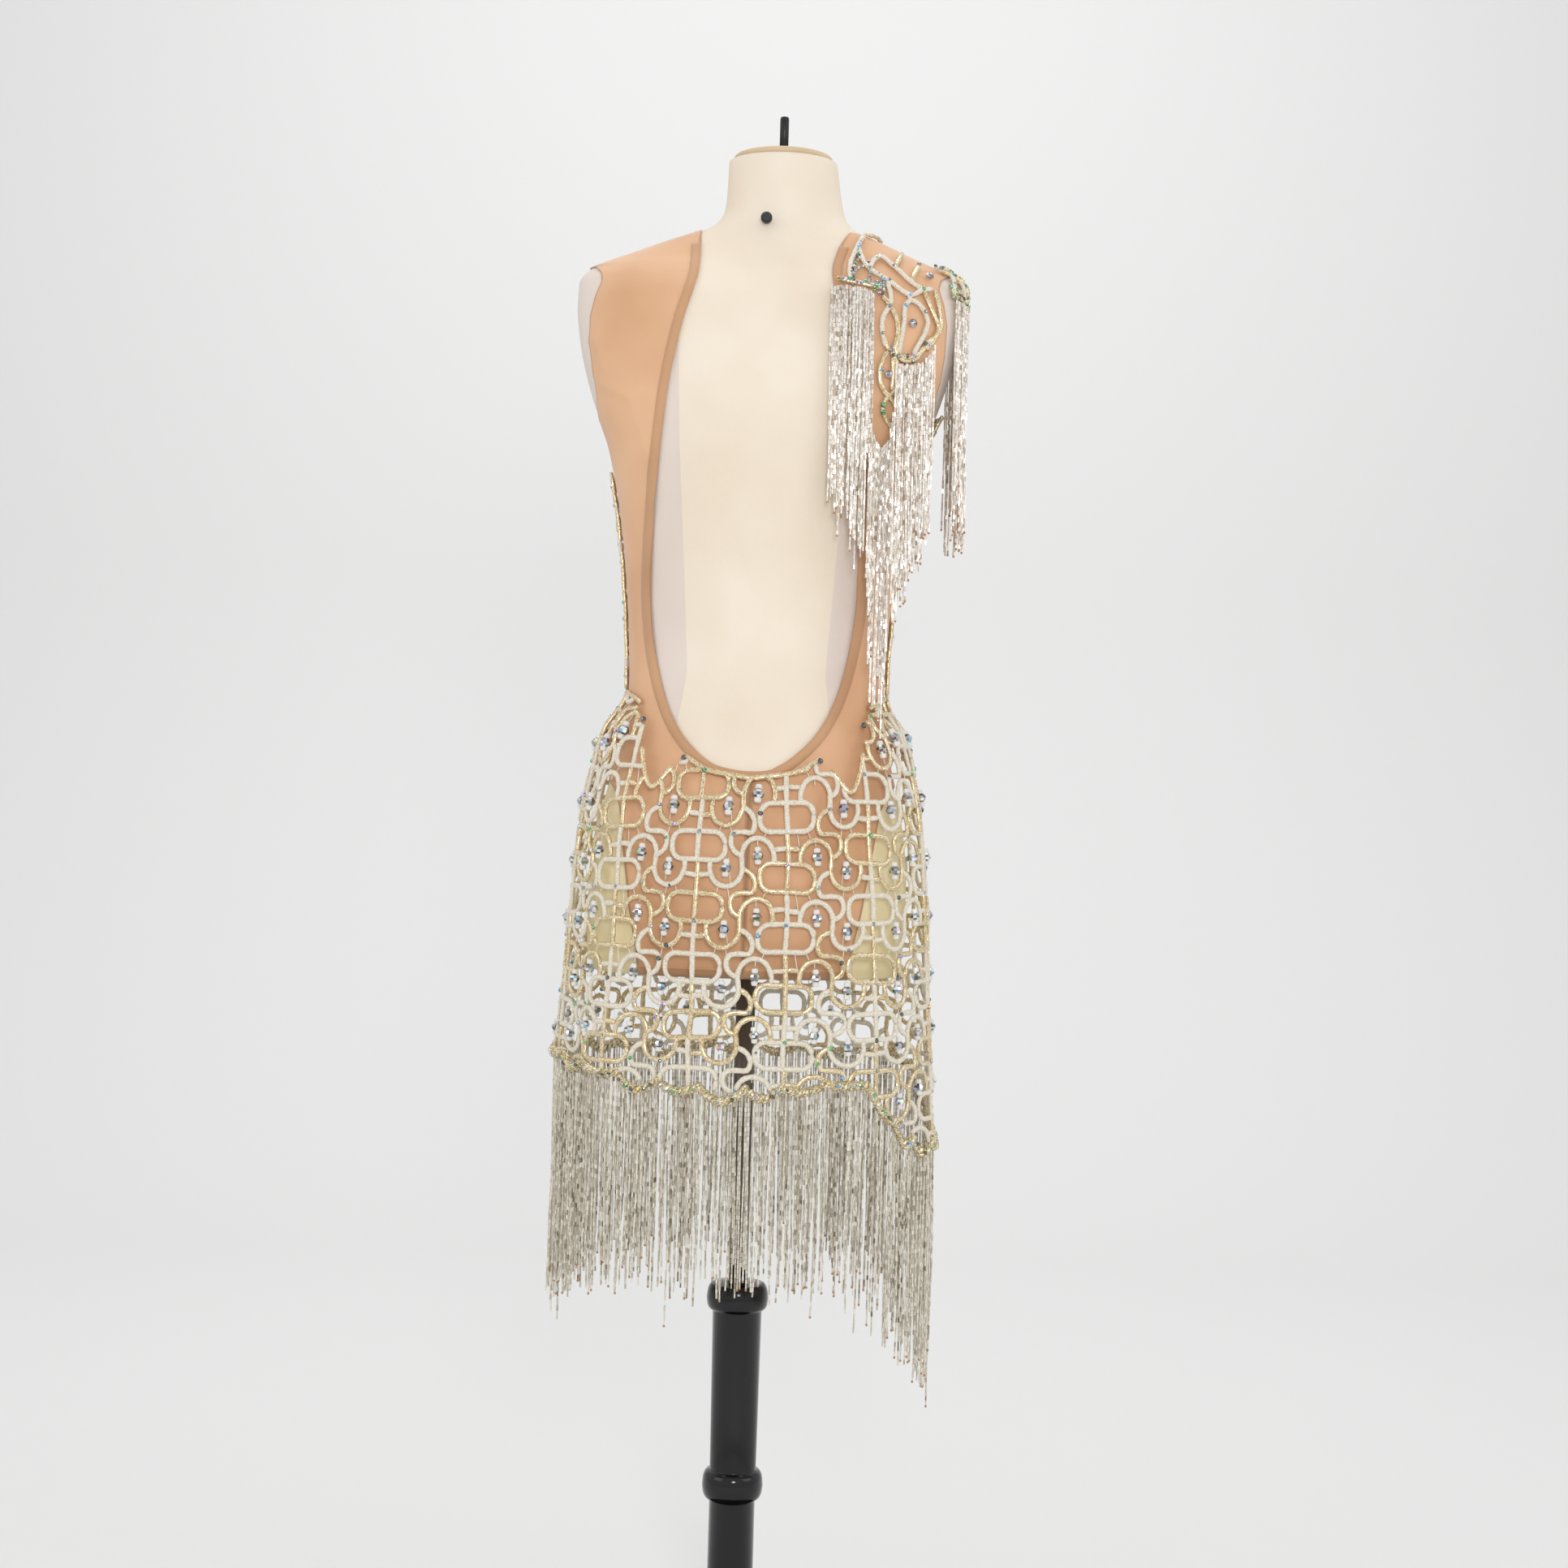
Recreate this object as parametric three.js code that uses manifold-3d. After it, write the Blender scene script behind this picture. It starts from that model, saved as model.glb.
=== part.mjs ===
// A one-shouldered flapper dress of corded lattice and bead fringe over a nude mesh bodysuit,
// worn by a limbless dress form on a turned post.
// Millimetres, +Z up. The wearer faces -Y, so +X is the wearer's left.
// The origin is on the floor, under the post.
// Angles go round the body in degrees: 0 the left side, 90 the back, 180 the right side, 270 the front.
// They are angles on a section's unit shape, before it is stretched to its width and depth.
import * as THREE from "three";
import { mergeVertices } from "three/addons/utils/BufferGeometryUtils.js";
import Module from "manifold-3d";

const wasm = await Module();
wasm.setup();

// ---------------------------------------------------------------- driving dimensions
const stand = {
  baseRadius: 185, baseThick: 14, baseCrown: 26, crownRadius: 40, standGap: 0.3,
  postTop: 383, poleRadius: 9.5, poleBore: 9.9, boreDepth: 60,
  knobRadius: 5.5, knobLength: 13, knobAngle: 78, knobHeight: 1420, knobClear: 1.8,
  rodRadius: 4.4, rodHeight: 40, neckCapThick: 7, neckCapInset: 1.5,
};
const form = { floor: 690, neckTop: 1490, bustOut: 19, bustX: 70, bustZ: 1212, bustWide: 48, bustTall: 52 };
const cloth = {
  suitLift: 0.7, suitWall: 1.2, bindLift: 2.3, bindWall: 0.8, bindWide: 9, overLift: 2.4, overWall: 1.4,
  fringeLift: 4.4, fringeWall: 3, seam: 0.5, skirtLift: 3.0, skirtWall: 1.6,
};
const aroundStep = 10;            // degrees between the columns of the form and of the cloth that lies on it
const suitFoot = 704;             // lower edge of the suit, just above the form's turned-in edge
const waistSeam = 964;            // where the lattice front joins the skirt
const scoopFoot = 885;            // lowest point of the open back
const shoulderTop = 1413;         // where the suit's shoulders end at the neck
const skirtBlend = 42;            // height over which the skirt leaves the body
const rippleDepth = 4;            // soft folds of the skirt at its hem

// ---------------------------------------------------------------- tables with named columns
const table = (columns, rows) =>
  rows.map((row) => Object.fromEntries(columns.map((name, i) => [name, row[i]])));

// sections of the dress form; lean is towards the wearer's right, mid is the section's centre along Y
const formRows = table(["z", "half", "front", "back", "mid", "lean", "square"], [
  [690, 149, 90, 98, 0, -2.5, 2.3],
  [702, 154, 95, 105, 0, -2.5, 2.3],
  [738, 156, 99, 113, 0, -2.0, 2.25],
  [778, 156, 101, 116, 0, -1.5, 2.2],
  [822, 152, 102, 111, 0, -1.0, 2.2],
  [872, 140, 100, 98, 0, 0.0, 2.15],
  [920, 129, 95, 84, 0, 1.0, 2.1],
  [968, 124, 91, 77, 0, 2.0, 2.1],
  [1020, 126, 91, 79, 0, 2.3, 2.1],
  [1080, 131, 95, 85, 0, 2.7, 2.15],
  [1140, 139, 102, 91, 0, 3.0, 2.2],
  [1200, 152, 107, 95, 0, 3.4, 2.35],
  [1250, 171, 104, 97, 0, 3.8, 2.55],
  [1300, 184, 98, 96, -2, 4.2, 2.7],
  [1340, 189, 86, 88, -4, 5.0, 2.75],
  [1360, 189, 76, 78, -6, 5.5, 2.7],
  [1372, 182, 67, 69, -7, 6.0, 2.6],
  [1381, 166, 60, 62, -8, 7.0, 2.45],
  [1392, 140, 56, 57, -9, 8.5, 2.3],
  [1404, 112, 54, 53, -10, 11, 2.2],
  [1414, 87, 54, 51, -11, 14, 2.1],
  [1424, 69, 54, 50, -12, 16, 2.05],
  [1437, 60, 53, 50, -14, 16.5, 2.0],
  [1462, 56, 52, 50, -18, 15.5, 2.0],
  [1490, 54, 51, 50, -22, 14, 2.0],
]);

// heights of the form's rings, shared by the cloth that lies on it so that their faces run parallel
const formHeights = [
  690, 704, 750, 805, 858, 896, 930, 964, 1005, 1055, 1105, 1150, 1185, 1212, 1240, 1275,
  1310, 1340, 1354, 1366, 1375, 1381, 1388, 1398, 1414, 1424, 1437, 1462, 1490,
];

// sections of the skirt, which hangs clear of the form below the hip
const skirtRows = table(["z", "half", "front", "back", "mid", "lean", "square"], [
  [515, 186, 119, 134, 0, 1, 2.15],
  [608, 182, 116, 131, 0, 1, 2.15],
  [688, 177, 112, 127, 0, 1, 2.15],
  [768, 172, 109, 123, 0, 1, 2.15],
  [848, 165, 107, 115, 0, 1, 2.15],
  [888, 157, 104, 100, 0, 1, 2.15],
  [928, 146, 99, 90, 0, 1, 2.1],
  [964, 131, 95, 82, 0, 2, 2.1],
]);

// half width of the open back, from the scoop's lowest point to the neck
const scoopRows = table(["z", "x"], [
  [885, 0], [886, 14], [889, 26], [894, 36], [902, 46], [913, 57], [928, 68], [948, 78], [972, 86],
  [1005, 93], [1050, 98], [1100, 98], [1180, 94], [1250, 87], [1310, 76], [1350, 66], [1372, 64],
  [1395, 67], [1416, 73],
]);
const scoopShift = 5;             // the open back sits a little to the wearer's left

// outer edge of the suit, front and back alike: leg opening, side seam (beyond the body), armhole, shoulder
const suitEdgeRows = table(["z", "x"], [
  [704, 100], [717, 102], [756, 110], [779, 113], [822, 120], [849, 124], [868, 132], [884, 150], [900, 205],
  [1240, 205], [1249, 166], [1262, 166], [1290, 170], [1320, 171], [1340, 167], [1354, 162], [1364, 164],
  [1372, 171], [1380, 205], [1413, 205],
]);

// neckline of the suit's front, a plain shallow scoop
const suitNeckRows = table(["z", "x"], [
  [1330, 0], [1334, 26], [1343, 44], [1358, 56], [1380, 63], [1416, 73],
]);

// the one-shouldered lattice front: where its neckline runs, as x towards the wearer's left
const bodiceNeckRows = table(["z", "x"], [
  [1172, 205], [1180, 140], [1186, 118], [1214, 78], [1246, 40], [1282, 2], [1322, -36], [1362, -64],
  [1400, -80], [1413, -82],
]);

// the right shoulder yoke on the back, as x towards the wearer's right
const yokeRows = table(["z", "inner", "outer"], [
  [1290, 98, 148], [1306, 95, 158], [1318, 92, 163], [1336, 86, 160], [1350, 77, 156], [1362, 75, 157],
  [1374, 75, 159], [1413, 82, 159.5],
]);

// top edge of the skirt's back below the scoop, as degrees from the side seam
const backTopRows = table(["side", "z"], [
  [0, 964], [12, 964], [32, 954], [44, 936], [49, 900], [55, 872], [61, 888], [66, 901], [75, 889], [90, 882],
]);
const hem = { back: 586, side: 606, front: 600, dipAngle: 169, dipWide: 46, dipDepth: 72 };
const hemFringe = { back: 196, left: 236, right: 246, front: 215 };
const hemGap = 0.8;

const epaulette = { inner: 160, foot: 1346, top: 1381 };
const drop = { x: 115, half: 9, length: 84 };

// curtains of the right shoulder's fringe; x is from the post towards the wearer's right
const innerFringeRows = table(["x", "top", "foot"], [
  [64, 1351, 1168], [74, 1350, 1150], [84, 1350, 1128], [94, 1348, 1118], [104, 1345, 1128],
]);
const middleFringeRows = table(["x", "top", "foot"], [
  [104.8, 1296, 1070], [110, 1296, 1010], [116, 1296, 948], [122, 1296, 948], [127, 1296, 990],
  [135, 1296, 1062], [144, 1296, 1074], [154, 1298, 1082], [164, 1301, 1112],
]);
const curtainClear = 1.3;
const outerFringe = { first: 150, last: 210, foot: 1124 };

// ---------------------------------------------------------------- curves through the tables
const clamp = (x, low, high) => Math.min(high, Math.max(low, x));
const smoothStep = (x) => { const t = clamp(x, 0, 1); return t * t * (3 - 2 * t); };
const radians = (degrees) => degrees * Math.PI / 180;

// monotone smooth curve through a column: no overshoot between rows
function smoothAt(rows, key, column, at) {
  const last = rows.length - 1;
  const x = clamp(at, rows[0][key], rows[last][key]);
  const slope = (i) => (rows[i + 1][column] - rows[i][column]) / (rows[i + 1][key] - rows[i][key]);
  const tangent = (i) => {
    if (i === 0) return slope(0);
    if (i === last) return slope(last - 1);
    const [before, after] = [slope(i - 1), slope(i)];
    return before * after <= 0 ? 0 : 2 * before * after / (before + after);
  };
  let i = 0;
  while (i < last - 1 && x > rows[i + 1][key]) i += 1;
  const step = rows[i + 1][key] - rows[i][key];
  const t = (x - rows[i][key]) / step;
  const [t2, t3] = [t * t, t * t * t];
  return (2 * t3 - 3 * t2 + 1) * rows[i][column] + (t3 - 2 * t2 + t) * step * tangent(i)
    + (3 * t2 - 2 * t3) * rows[i + 1][column] + (t3 - t2) * step * tangent(i + 1);
}

function straightAt(rows, key, column, at) {
  const x = clamp(at, rows[0][key], rows[rows.length - 1][key]);
  let i = 0;
  while (i < rows.length - 2 && x > rows[i + 1][key]) i += 1;
  const t = (x - rows[i][key]) / (rows[i + 1][key] - rows[i][key]);
  return rows[i][column] + t * (rows[i + 1][column] - rows[i][column]);
}

// ---------------------------------------------------------------- body and skirt surfaces
function sectionAt(rows, z) {
  return Object.fromEntries(
    ["half", "front", "back", "mid", "lean", "square"].map((name) => [name, smoothAt(rows, "z", name, z)]),
  );
}

function sectionPoint(rows, angle, z) {
  const s = sectionAt(rows, z);
  const [c, n] = [Math.cos(radians(angle)), Math.sin(radians(angle))];
  const r = (Math.abs(c) ** s.square + Math.abs(n) ** s.square) ** (-1 / s.square);
  return new THREE.Vector3(r * c * s.half - s.lean, r * n * (n >= 0 ? s.back : s.front) + s.mid, z);
}

function formPoint(angle, z) {
  const p = sectionPoint(formRows, angle, z);
  if (p.y < 0) {
    const across = (Math.abs(p.x) - form.bustX) / form.bustWide;
    const up = (z - form.bustZ) / form.bustTall;
    p.y -= form.bustOut * Math.exp(-across * across - up * up) * smoothStep(-p.y / 60);
  }
  return p;
}

function skirtPoint(angle, z) {
  const free = sectionPoint(skirtRows, angle, z);
  const a = radians(angle);
  const fall = smoothStep((880 - z) / 300);
  const ripple = rippleDepth * fall * (0.6 * Math.sin(9 * a + 0.7) + 0.4 * Math.sin(5 * a + 2.1));
  free.x += ripple * Math.cos(a);
  free.y += ripple * Math.sin(a);
  const near = moved(formPoint, angle, z, cloth.skirtLift);
  const leave = smoothStep((waistSeam - z) / skirtBlend);
  return near.lerp(free, leave).setZ(z);
}

// the point of a surface at an angle and height, moved out along its normal
function moved(surface, angle, z, out) {
  const [da, dz] = [0.4, 0.8];
  const p = surface(angle, z);
  const along = surface(angle + da, z).sub(surface(angle - da, z));
  const up = surface(angle, z + dz).sub(surface(angle, z - dz));
  return p.add(along.cross(up).normalize().multiplyScalar(out));
}

// ---------------------------------------------------------------- meshes from points
function meshFrom(points, triangles) {
  const geometry = new THREE.BufferGeometry();
  const places = points.flatMap((p) => [p.x, p.y, p.z]);
  geometry.setAttribute("position", new THREE.Float32BufferAttribute(places, 3));
  geometry.setIndex(triangles.flat());
  geometry.computeVertexNormals();
  return geometry;
}

// solid between rings of equal count, closed by flat ends
function loftedSolid(rings) {
  const count = rings[0].length;
  const points = rings.flat();
  const triangles = [];
  for (let i = 0; i < rings.length - 1; i += 1) {
    for (let j = 0; j < count; j += 1) {
      const k = (j + 1) % count;
      const [a, b, c, d] = [i * count + j, i * count + k, (i + 1) * count + k, (i + 1) * count + j];
      triangles.push([a, b, c], [a, c, d]);
    }
  }
  for (const [ring, up] of [[0, false], [rings.length - 1, true]]) {
    const centre = new THREE.Vector3();
    rings[ring].forEach((p) => centre.add(p));
    points.push(centre.divideScalar(count));
    for (let j = 0; j < count; j += 1) {
      const [a, b] = [ring * count + j, ring * count + (j + 1) % count];
      triangles.push(up ? [a, b, points.length - 1] : [b, a, points.length - 1]);
    }
  }
  return meshFrom(points, triangles);
}

// closed wall from a grid of [inner, outer] pairs: rows go up, columns go round with the angle
function wallSolid(grid) {
  const [rows, columns] = [grid.length, grid[0].length];
  const inner = grid.flat().map((pair) => pair[0]);
  const points = inner.concat(grid.flat().map((pair) => pair[1]));
  const id = (row, column, side) => side * inner.length + row * columns + column;
  const triangles = [];
  const quad = (a, b, c, d) => triangles.push([a, b, c], [a, c, d]);
  for (let r = 0; r < rows - 1; r += 1) {
    for (let c = 0; c < columns - 1; c += 1) {
      quad(id(r, c, 1), id(r, c + 1, 1), id(r + 1, c + 1, 1), id(r + 1, c, 1));
      quad(id(r, c, 0), id(r + 1, c, 0), id(r + 1, c + 1, 0), id(r, c + 1, 0));
    }
  }
  for (let r = 0; r < rows - 1; r += 1) {
    quad(id(r, 0, 0), id(r, 0, 1), id(r + 1, 0, 1), id(r + 1, 0, 0));
    quad(id(r, columns - 1, 1), id(r, columns - 1, 0), id(r + 1, columns - 1, 0), id(r + 1, columns - 1, 1));
  }
  for (let c = 0; c < columns - 1; c += 1) {
    quad(id(0, c, 0), id(0, c + 1, 0), id(0, c + 1, 1), id(0, c, 1));
    quad(id(rows - 1, c, 1), id(rows - 1, c + 1, 1), id(rows - 1, c + 1, 0), id(rows - 1, c, 0));
  }
  return meshFrom(points, triangles);
}

const dress = new THREE.Group();
dress.name = "flapper_dress";

function addPiece(name, geometry, color, roughness = 0.8, metalness = 0) {
  const mesh = new THREE.Mesh(geometry, new THREE.MeshStandardMaterial({ color, roughness, metalness }));
  mesh.name = name;
  dress.add(mesh);
  return mesh;
}

function solidOf(geometry) {
  const bare = geometry.clone();
  bare.deleteAttribute("normal");
  bare.deleteAttribute("uv");
  const merged = mergeVertices(bare);
  return new wasm.Manifold(new wasm.Mesh({
    numProp: 3,
    vertProperties: merged.attributes.position.array,
    triVerts: new Uint32Array(merged.index.array),
  }));
}

function geometryOf(solid) {
  const { vertProperties, triVerts } = solid.getMesh();
  const geometry = new THREE.BufferGeometry();
  geometry.setAttribute("position", new THREE.BufferAttribute(vertProperties, 3));
  geometry.setIndex(new THREE.BufferAttribute(triVerts, 1));
  geometry.computeVertexNormals();
  return geometry;
}

// a wall that lies on the form between two angles, over the whole height of the cloth
function bodyShell(first, last, lift, wall) {
  const gap = seamAngle(80);
  const count = Math.round((last - first) / aroundStep);
  const heights = formHeights.filter((z) => z >= suitFoot && z <= 1414);
  return solidOf(wallSolid(heights.map((z) => Array.from({ length: count + 1 }, (_, c) => {
    const angle = clamp(first + c * aroundStep, first + gap, last - gap);
    return [moved(formPoint, angle, z, lift), moved(formPoint, angle, z, lift + wall)];
  }))));
}

// everything before and behind an outline given as [x, z] from the form's centre line
function prism(outline) {
  const leaning = ([x, z]) => new THREE.Vector2(x - sectionAt(formRows, z).lean, z);
  const shape = new THREE.Shape(outline.map(leaning));
  const solid = new THREE.ExtrudeGeometry(shape, { depth: 400, bevelEnabled: false });
  solid.rotateX(Math.PI / 2);
  solid.translate(0, 200, 0);
  return solidOf(solid);
}

// a panel cut from a wall on the form
const panel = (shell, outline) => geometryOf(shell.intersect(prism(outline)));

// points of a table's curve between two heights, low to high
function curve(rows, column, low, high, step, sign = 1) {
  const count = Math.ceil((high - low) / step);
  return Array.from({ length: count + 1 }, (_, i) => {
    const z = low + (high - low) * i / count;
    return [sign * smoothAt(rows, "z", column, z), z];
  });
}

const mirrored = (outline) => outline.map(([x, z]) => [-x, z]).reverse();

const seamAngle = (radius) => cloth.seam / 2 / radius * 180 / Math.PI;

// ---------------------------------------------------------------- stand and dress form
function buildStand() {
  const black = 0x111113;
  const { baseRadius, baseThick, baseCrown, crownRadius, standGap } = stand;
  const base = [
    [0, 0], [baseRadius - 2, 0], [baseRadius, 2], [baseRadius, baseThick - 4],
    [baseRadius - 4, baseThick], [baseRadius - 60, baseThick + 5], [crownRadius + 22, baseThick + 9],
    [crownRadius, baseCrown], [0, baseCrown],
  ];
  addPiece("base_plate", turned(base, 48), black, 0.35);

  const foot = baseCrown + standGap;
  const boreFoot = stand.postTop - stand.boreDepth;
  const post = [
    [0, foot], [33, foot], [33, foot + 8], [26, foot + 18], [22.5, foot + 34],
    [22.5, 171], [26, 172], [29.2, 178], [30, 185], [29.2, 193], [26, 199], [22.7, 200],
    [24.2, 357], [27, 358], [29.8, 363], [30.4, 369], [29.4, 376], [26.2, stand.postTop],
    [stand.poleBore, stand.postTop], [stand.poleBore, boreFoot], [0, boreFoot],
  ];
  addPiece("post", turned(post, 36), black, 0.15);

  const poleFoot = boreFoot + standGap;
  const poleLength = form.floor - standGap - poleFoot;
  const pole = new THREE.CylinderGeometry(stand.poleRadius, stand.poleRadius, poleLength, 24);
  pole.rotateX(Math.PI / 2);
  addPiece("pole", pole, 0x77706a, 0.3, 0.9).position.set(0, 0, poleFoot + poleLength / 2);
}

function turned(profile, segments) {
  const lathe = new THREE.LatheGeometry(profile.map(([r, z]) => new THREE.Vector2(r, z)), segments);
  lathe.rotateX(Math.PI / 2);
  return lathe;
}

function buildForm() {
  const angles = Array.from({ length: 360 / aroundStep }, (_, i) => i * aroundStep);
  const torso = loftedSolid(formHeights.map((z) => angles.map((angle) => formPoint(angle, z))));
  addPiece("form_torso", torso, 0xf5ead8, 0.85);

  const top = sectionAt(formRows, form.neckTop);
  const centre = new THREE.Vector3(-top.lean, top.mid, form.neckTop + stand.standGap);
  const capRadius = top.half - 3 - stand.neckCapInset;
  const cap = turned([
    [0, 0], [capRadius, 0], [capRadius, stand.neckCapThick - 2], [capRadius - 3, stand.neckCapThick],
    [0, stand.neckCapThick],
  ], 32);
  addPiece("neck_cap", cap, 0xe9dcc6, 0.7).position.copy(centre);

  const rod = new THREE.CylinderGeometry(stand.rodRadius, stand.rodRadius, stand.rodHeight, 20);
  rod.rotateX(Math.PI / 2);
  const rodFoot = centre.z + stand.neckCapThick + stand.standGap;
  const rodPiece = addPiece("top_rod", rod, 0x2b2a2a, 0.35, 0.8);
  rodPiece.position.set(centre.x, centre.y, rodFoot + stand.rodHeight / 2);

  const nape = moved(formPoint, stand.knobAngle, stand.knobHeight, stand.knobClear);
  const knob = turned([
    [0, 0], [stand.knobRadius - 2, 0], [stand.knobRadius - 2, 4], [stand.knobRadius, 6],
    [stand.knobRadius, stand.knobLength - 2], [stand.knobRadius - 1.5, stand.knobLength],
    [0, stand.knobLength],
  ], 20);
  knob.rotateX(-Math.PI / 2);
  addPiece("nape_knob", knob, 0x1a1a1a, 0.25, 0.6).position.copy(nape);
}

// ---------------------------------------------------------------- nude mesh bodysuit
const suitEdge = suitEdgeRows.map(({ z, x }) => [x, z]);

// the open back's edge on the wearer's left, from its lowest point to the shoulder
const scoopEdge = scoopRows.filter(({ z }) => z <= shoulderTop).map(({ z, x }) => [x, z]);
scoopEdge.push([smoothAt(scoopRows, "z", "x", shoulderTop), shoulderTop]);
const shifted = (outline) => outline.map(([x, z]) => [x + scoopShift * smoothStep((z - scoopFoot) / 6), z]);

function buildSuit() {
  const nude = 0xdca77a;
  const back = bodyShell(0, 180, cloth.suitLift, cloth.suitWall);
  const centre = cloth.seam / 2;
  const leftScoop = shifted(scoopEdge.slice(1)).reverse();
  const rightScoop = shifted(mirrored(scoopEdge.slice(1)).reverse());
  const left = [...suitEdge, ...leftScoop, [centre, scoopFoot], [centre, suitFoot]];
  const right = [[-centre, suitFoot], [-centre, scoopFoot], ...rightScoop, ...mirrored(suitEdge)];
  addPiece("suit_back_left", panel(back, left), nude);
  addPiece("suit_back_right", panel(back, right), nude);

  const neck = curve(suitNeckRows, "x", suitNeckRows[0].z, shoulderTop, 9);
  const front = [...suitEdge, ...neck.slice(1).reverse(), ...mirrored(neck).reverse(), ...mirrored(suitEdge)];
  addPiece("suit_front", panel(bodyShell(180, 360, cloth.suitLift, cloth.suitWall), front), nude);

  // the turned edge of the open back, a band outside the scoop from shoulder to shoulder
  const inner = scoopEdge.filter(([, z]) => z <= 1404);
  const outer = inner.map(([x, z], i) => {
    const [before, after] = [inner[Math.max(0, i - 1)], inner[Math.min(inner.length - 1, i + 1)]];
    const [dx, dz] = i ? [after[0] - before[0], after[1] - before[1]] : [1, 0];
    const reach = cloth.bindWide / Math.hypot(dx, dz);
    return [x + dz * reach, z - dx * reach];
  });
  const [innerEdge, outerEdge] = [inner, outer].map((edge) => [...mirrored(edge).slice(0, -1), ...edge]);
  const band = [...innerEdge, ...outerEdge.reverse()];
  addPiece("binding_scoop", panel(bodyShell(0, 180, cloth.bindLift, cloth.bindWall), shifted(band)), nude);
}

// ---------------------------------------------------------------- corded lattice
const ivory = 0xe6d9bd;
const fullTurn = (angle) => ((angle % 360) + 360) % 360;
const isBack = (angle) => Math.sin(radians(angle)) >= 0;

// degrees from the nearer side seam, 0 to 90
function sideAngle(angle) {
  const half = fullTurn(angle) % 180;
  return Math.min(half, 180 - half);
}

function hemHeight(angle) {
  const side = sideAngle(angle) / 90;
  const level = hem.side + ((isBack(angle) ? hem.back : hem.front) - hem.side) * smoothStep(side);
  const dip = Math.max(0, 1 - ((fullTurn(angle) - hem.dipAngle) / hem.dipWide) ** 2);
  return level - hem.dipDepth * smoothStep(dip);
}

function skirtTop(angle) {
  return isBack(angle) ? straightAt(backTopRows, "side", "z", sideAngle(angle)) : waistSeam;
}

// the skirt's four panels, with the first angle of each
const quarters = [["left", -45], ["back", 45], ["right", 135], ["front", 225]];
const quarterColumns = 11;

function quarterAngle(first, column) {
  const gap = seamAngle(150);
  return first + gap + (90 - 2 * gap) * column / quarterColumns;
}

function buildSkirt() {
  const rows = 7;
  for (const [name, first] of quarters) {
    const grid = [];
    for (let r = 0; r <= rows; r += 1) {
      grid.push(Array.from({ length: quarterColumns + 1 }, (_, c) => {
        const angle = quarterAngle(first, c);
        const z = hemHeight(angle) + (skirtTop(angle) - hemHeight(angle)) * r / rows;
        return [moved(skirtPoint, angle, z, 0), moved(skirtPoint, angle, z, cloth.skirtWall)];
      }));
    }
    addPiece(`skirt_${name}`, wallSolid(grid), ivory, 0.6);
  }
}

function buildBodice() {
  const foot = waistSeam + cloth.seam;
  const armhole = suitEdge.filter(([, z]) => z > 1000 && z < epaulette.foot).map(([x, z]) => [-x, z]);
  const shoulderHeights = [epaulette.foot, 1363, epaulette.top, shoulderTop];
  const shoulder = shoulderHeights.map((z) => [cloth.seam - epaulette.inner, z]);
  const neck = curve(bodiceNeckRows, "x", bodiceNeckRows[0].z, shoulderTop, 16);
  const lattice = [[-205, foot], [205, foot], ...neck, ...shoulder.reverse(), ...armhole.reverse()];
  addPiece("bodice_front", panel(bodyShell(180, 360, cloth.overLift, cloth.overWall), lattice), ivory, 0.6);

  const back = bodyShell(90, 180, cloth.overLift, cloth.overWall);
  const yokeFoot = yokeRows[0].z;
  const yokeCurve = (name) => curve(yokeRows, name, yokeFoot, shoulderTop, 12, -1);
  const [inner, outer] = [yokeCurve("inner"), yokeCurve("outer")];
  addPiece("yoke_back", panel(back, [...inner.reverse(), ...outer]), ivory, 0.6);

  const cap = [[-205, epaulette.foot], [-epaulette.inner, epaulette.foot], [-epaulette.inner, epaulette.top],
    [-205, epaulette.top]];
  addPiece("epaulette", panel(bodyShell(130, 230, cloth.overLift, cloth.overWall), cap), ivory, 0.6);

  // a leaf-shaped drop that tapers to a blunt point under the yoke
  const leafSide = (side) => [0, 0.15, 0.3, 0.45, 0.6, 0.75, 0.9, 1].map((share) => {
    const half = drop.half * Math.sqrt(1 - share) * (0.75 + 0.5 * Math.sin(Math.PI * share));
    return [-drop.x + side * (half + 1.5), yokeFoot - cloth.seam - drop.length * share];
  });
  addPiece("drop_motif", panel(back, [...leafSide(-1), ...leafSide(1).reverse()]), 0xd2bd80, 0.5);
}

// ---------------------------------------------------------------- bead fringe, each a solid of its reach
function buildHemFringe() {
  for (const [name, first] of quarters) {
    const grid = [0, 1].map((v) => Array.from({ length: quarterColumns + 1 }, (_, c) => {
      const angle = quarterAngle(first, c);
      const top = hemHeight(angle);
      const z = top - hemGap - (1 - v) * hemFringeLength(angle);
      return [-0.5, 0.5].map((side) => {
        const p = moved(skirtPoint, angle, top, cloth.skirtWall / 2 + side * cloth.fringeWall);
        return p.setZ(z);
      });
    }));
    addPiece(`fringe_hem_${name}`, wallSolid(grid), 0xb9ae97, 0.35);
  }
}

function hemFringeLength(angle) {
  const towardsSide = 1 - smoothStep(sideAngle(angle) / 66);
  const middle = isBack(angle) ? hemFringe.back : hemFringe.front;
  const side = Math.cos(radians(angle)) > 0 ? hemFringe.left : hemFringe.right;
  return middle + (side - middle) * towardsSide;
}

// how far from the centre a plumb curtain hangs: clear of the fullest part of the body above, front or back
function plumbDepth(x, z, top, half) {
  let depth = 0;
  for (let at = top; at >= z; at -= 6) {
    const s = sectionAt(formRows, at);
    const share = Math.abs(x - s.lean) / (s.half + cloth.fringeLift);
    if (share >= 1) continue;
    const deep = (s[half] + cloth.fringeLift) * (1 - share ** s.square) ** (1 / s.square);
    depth = Math.max(depth, deep + (half === "back" ? s.mid : -s.mid));
  }
  return depth;
}

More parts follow.
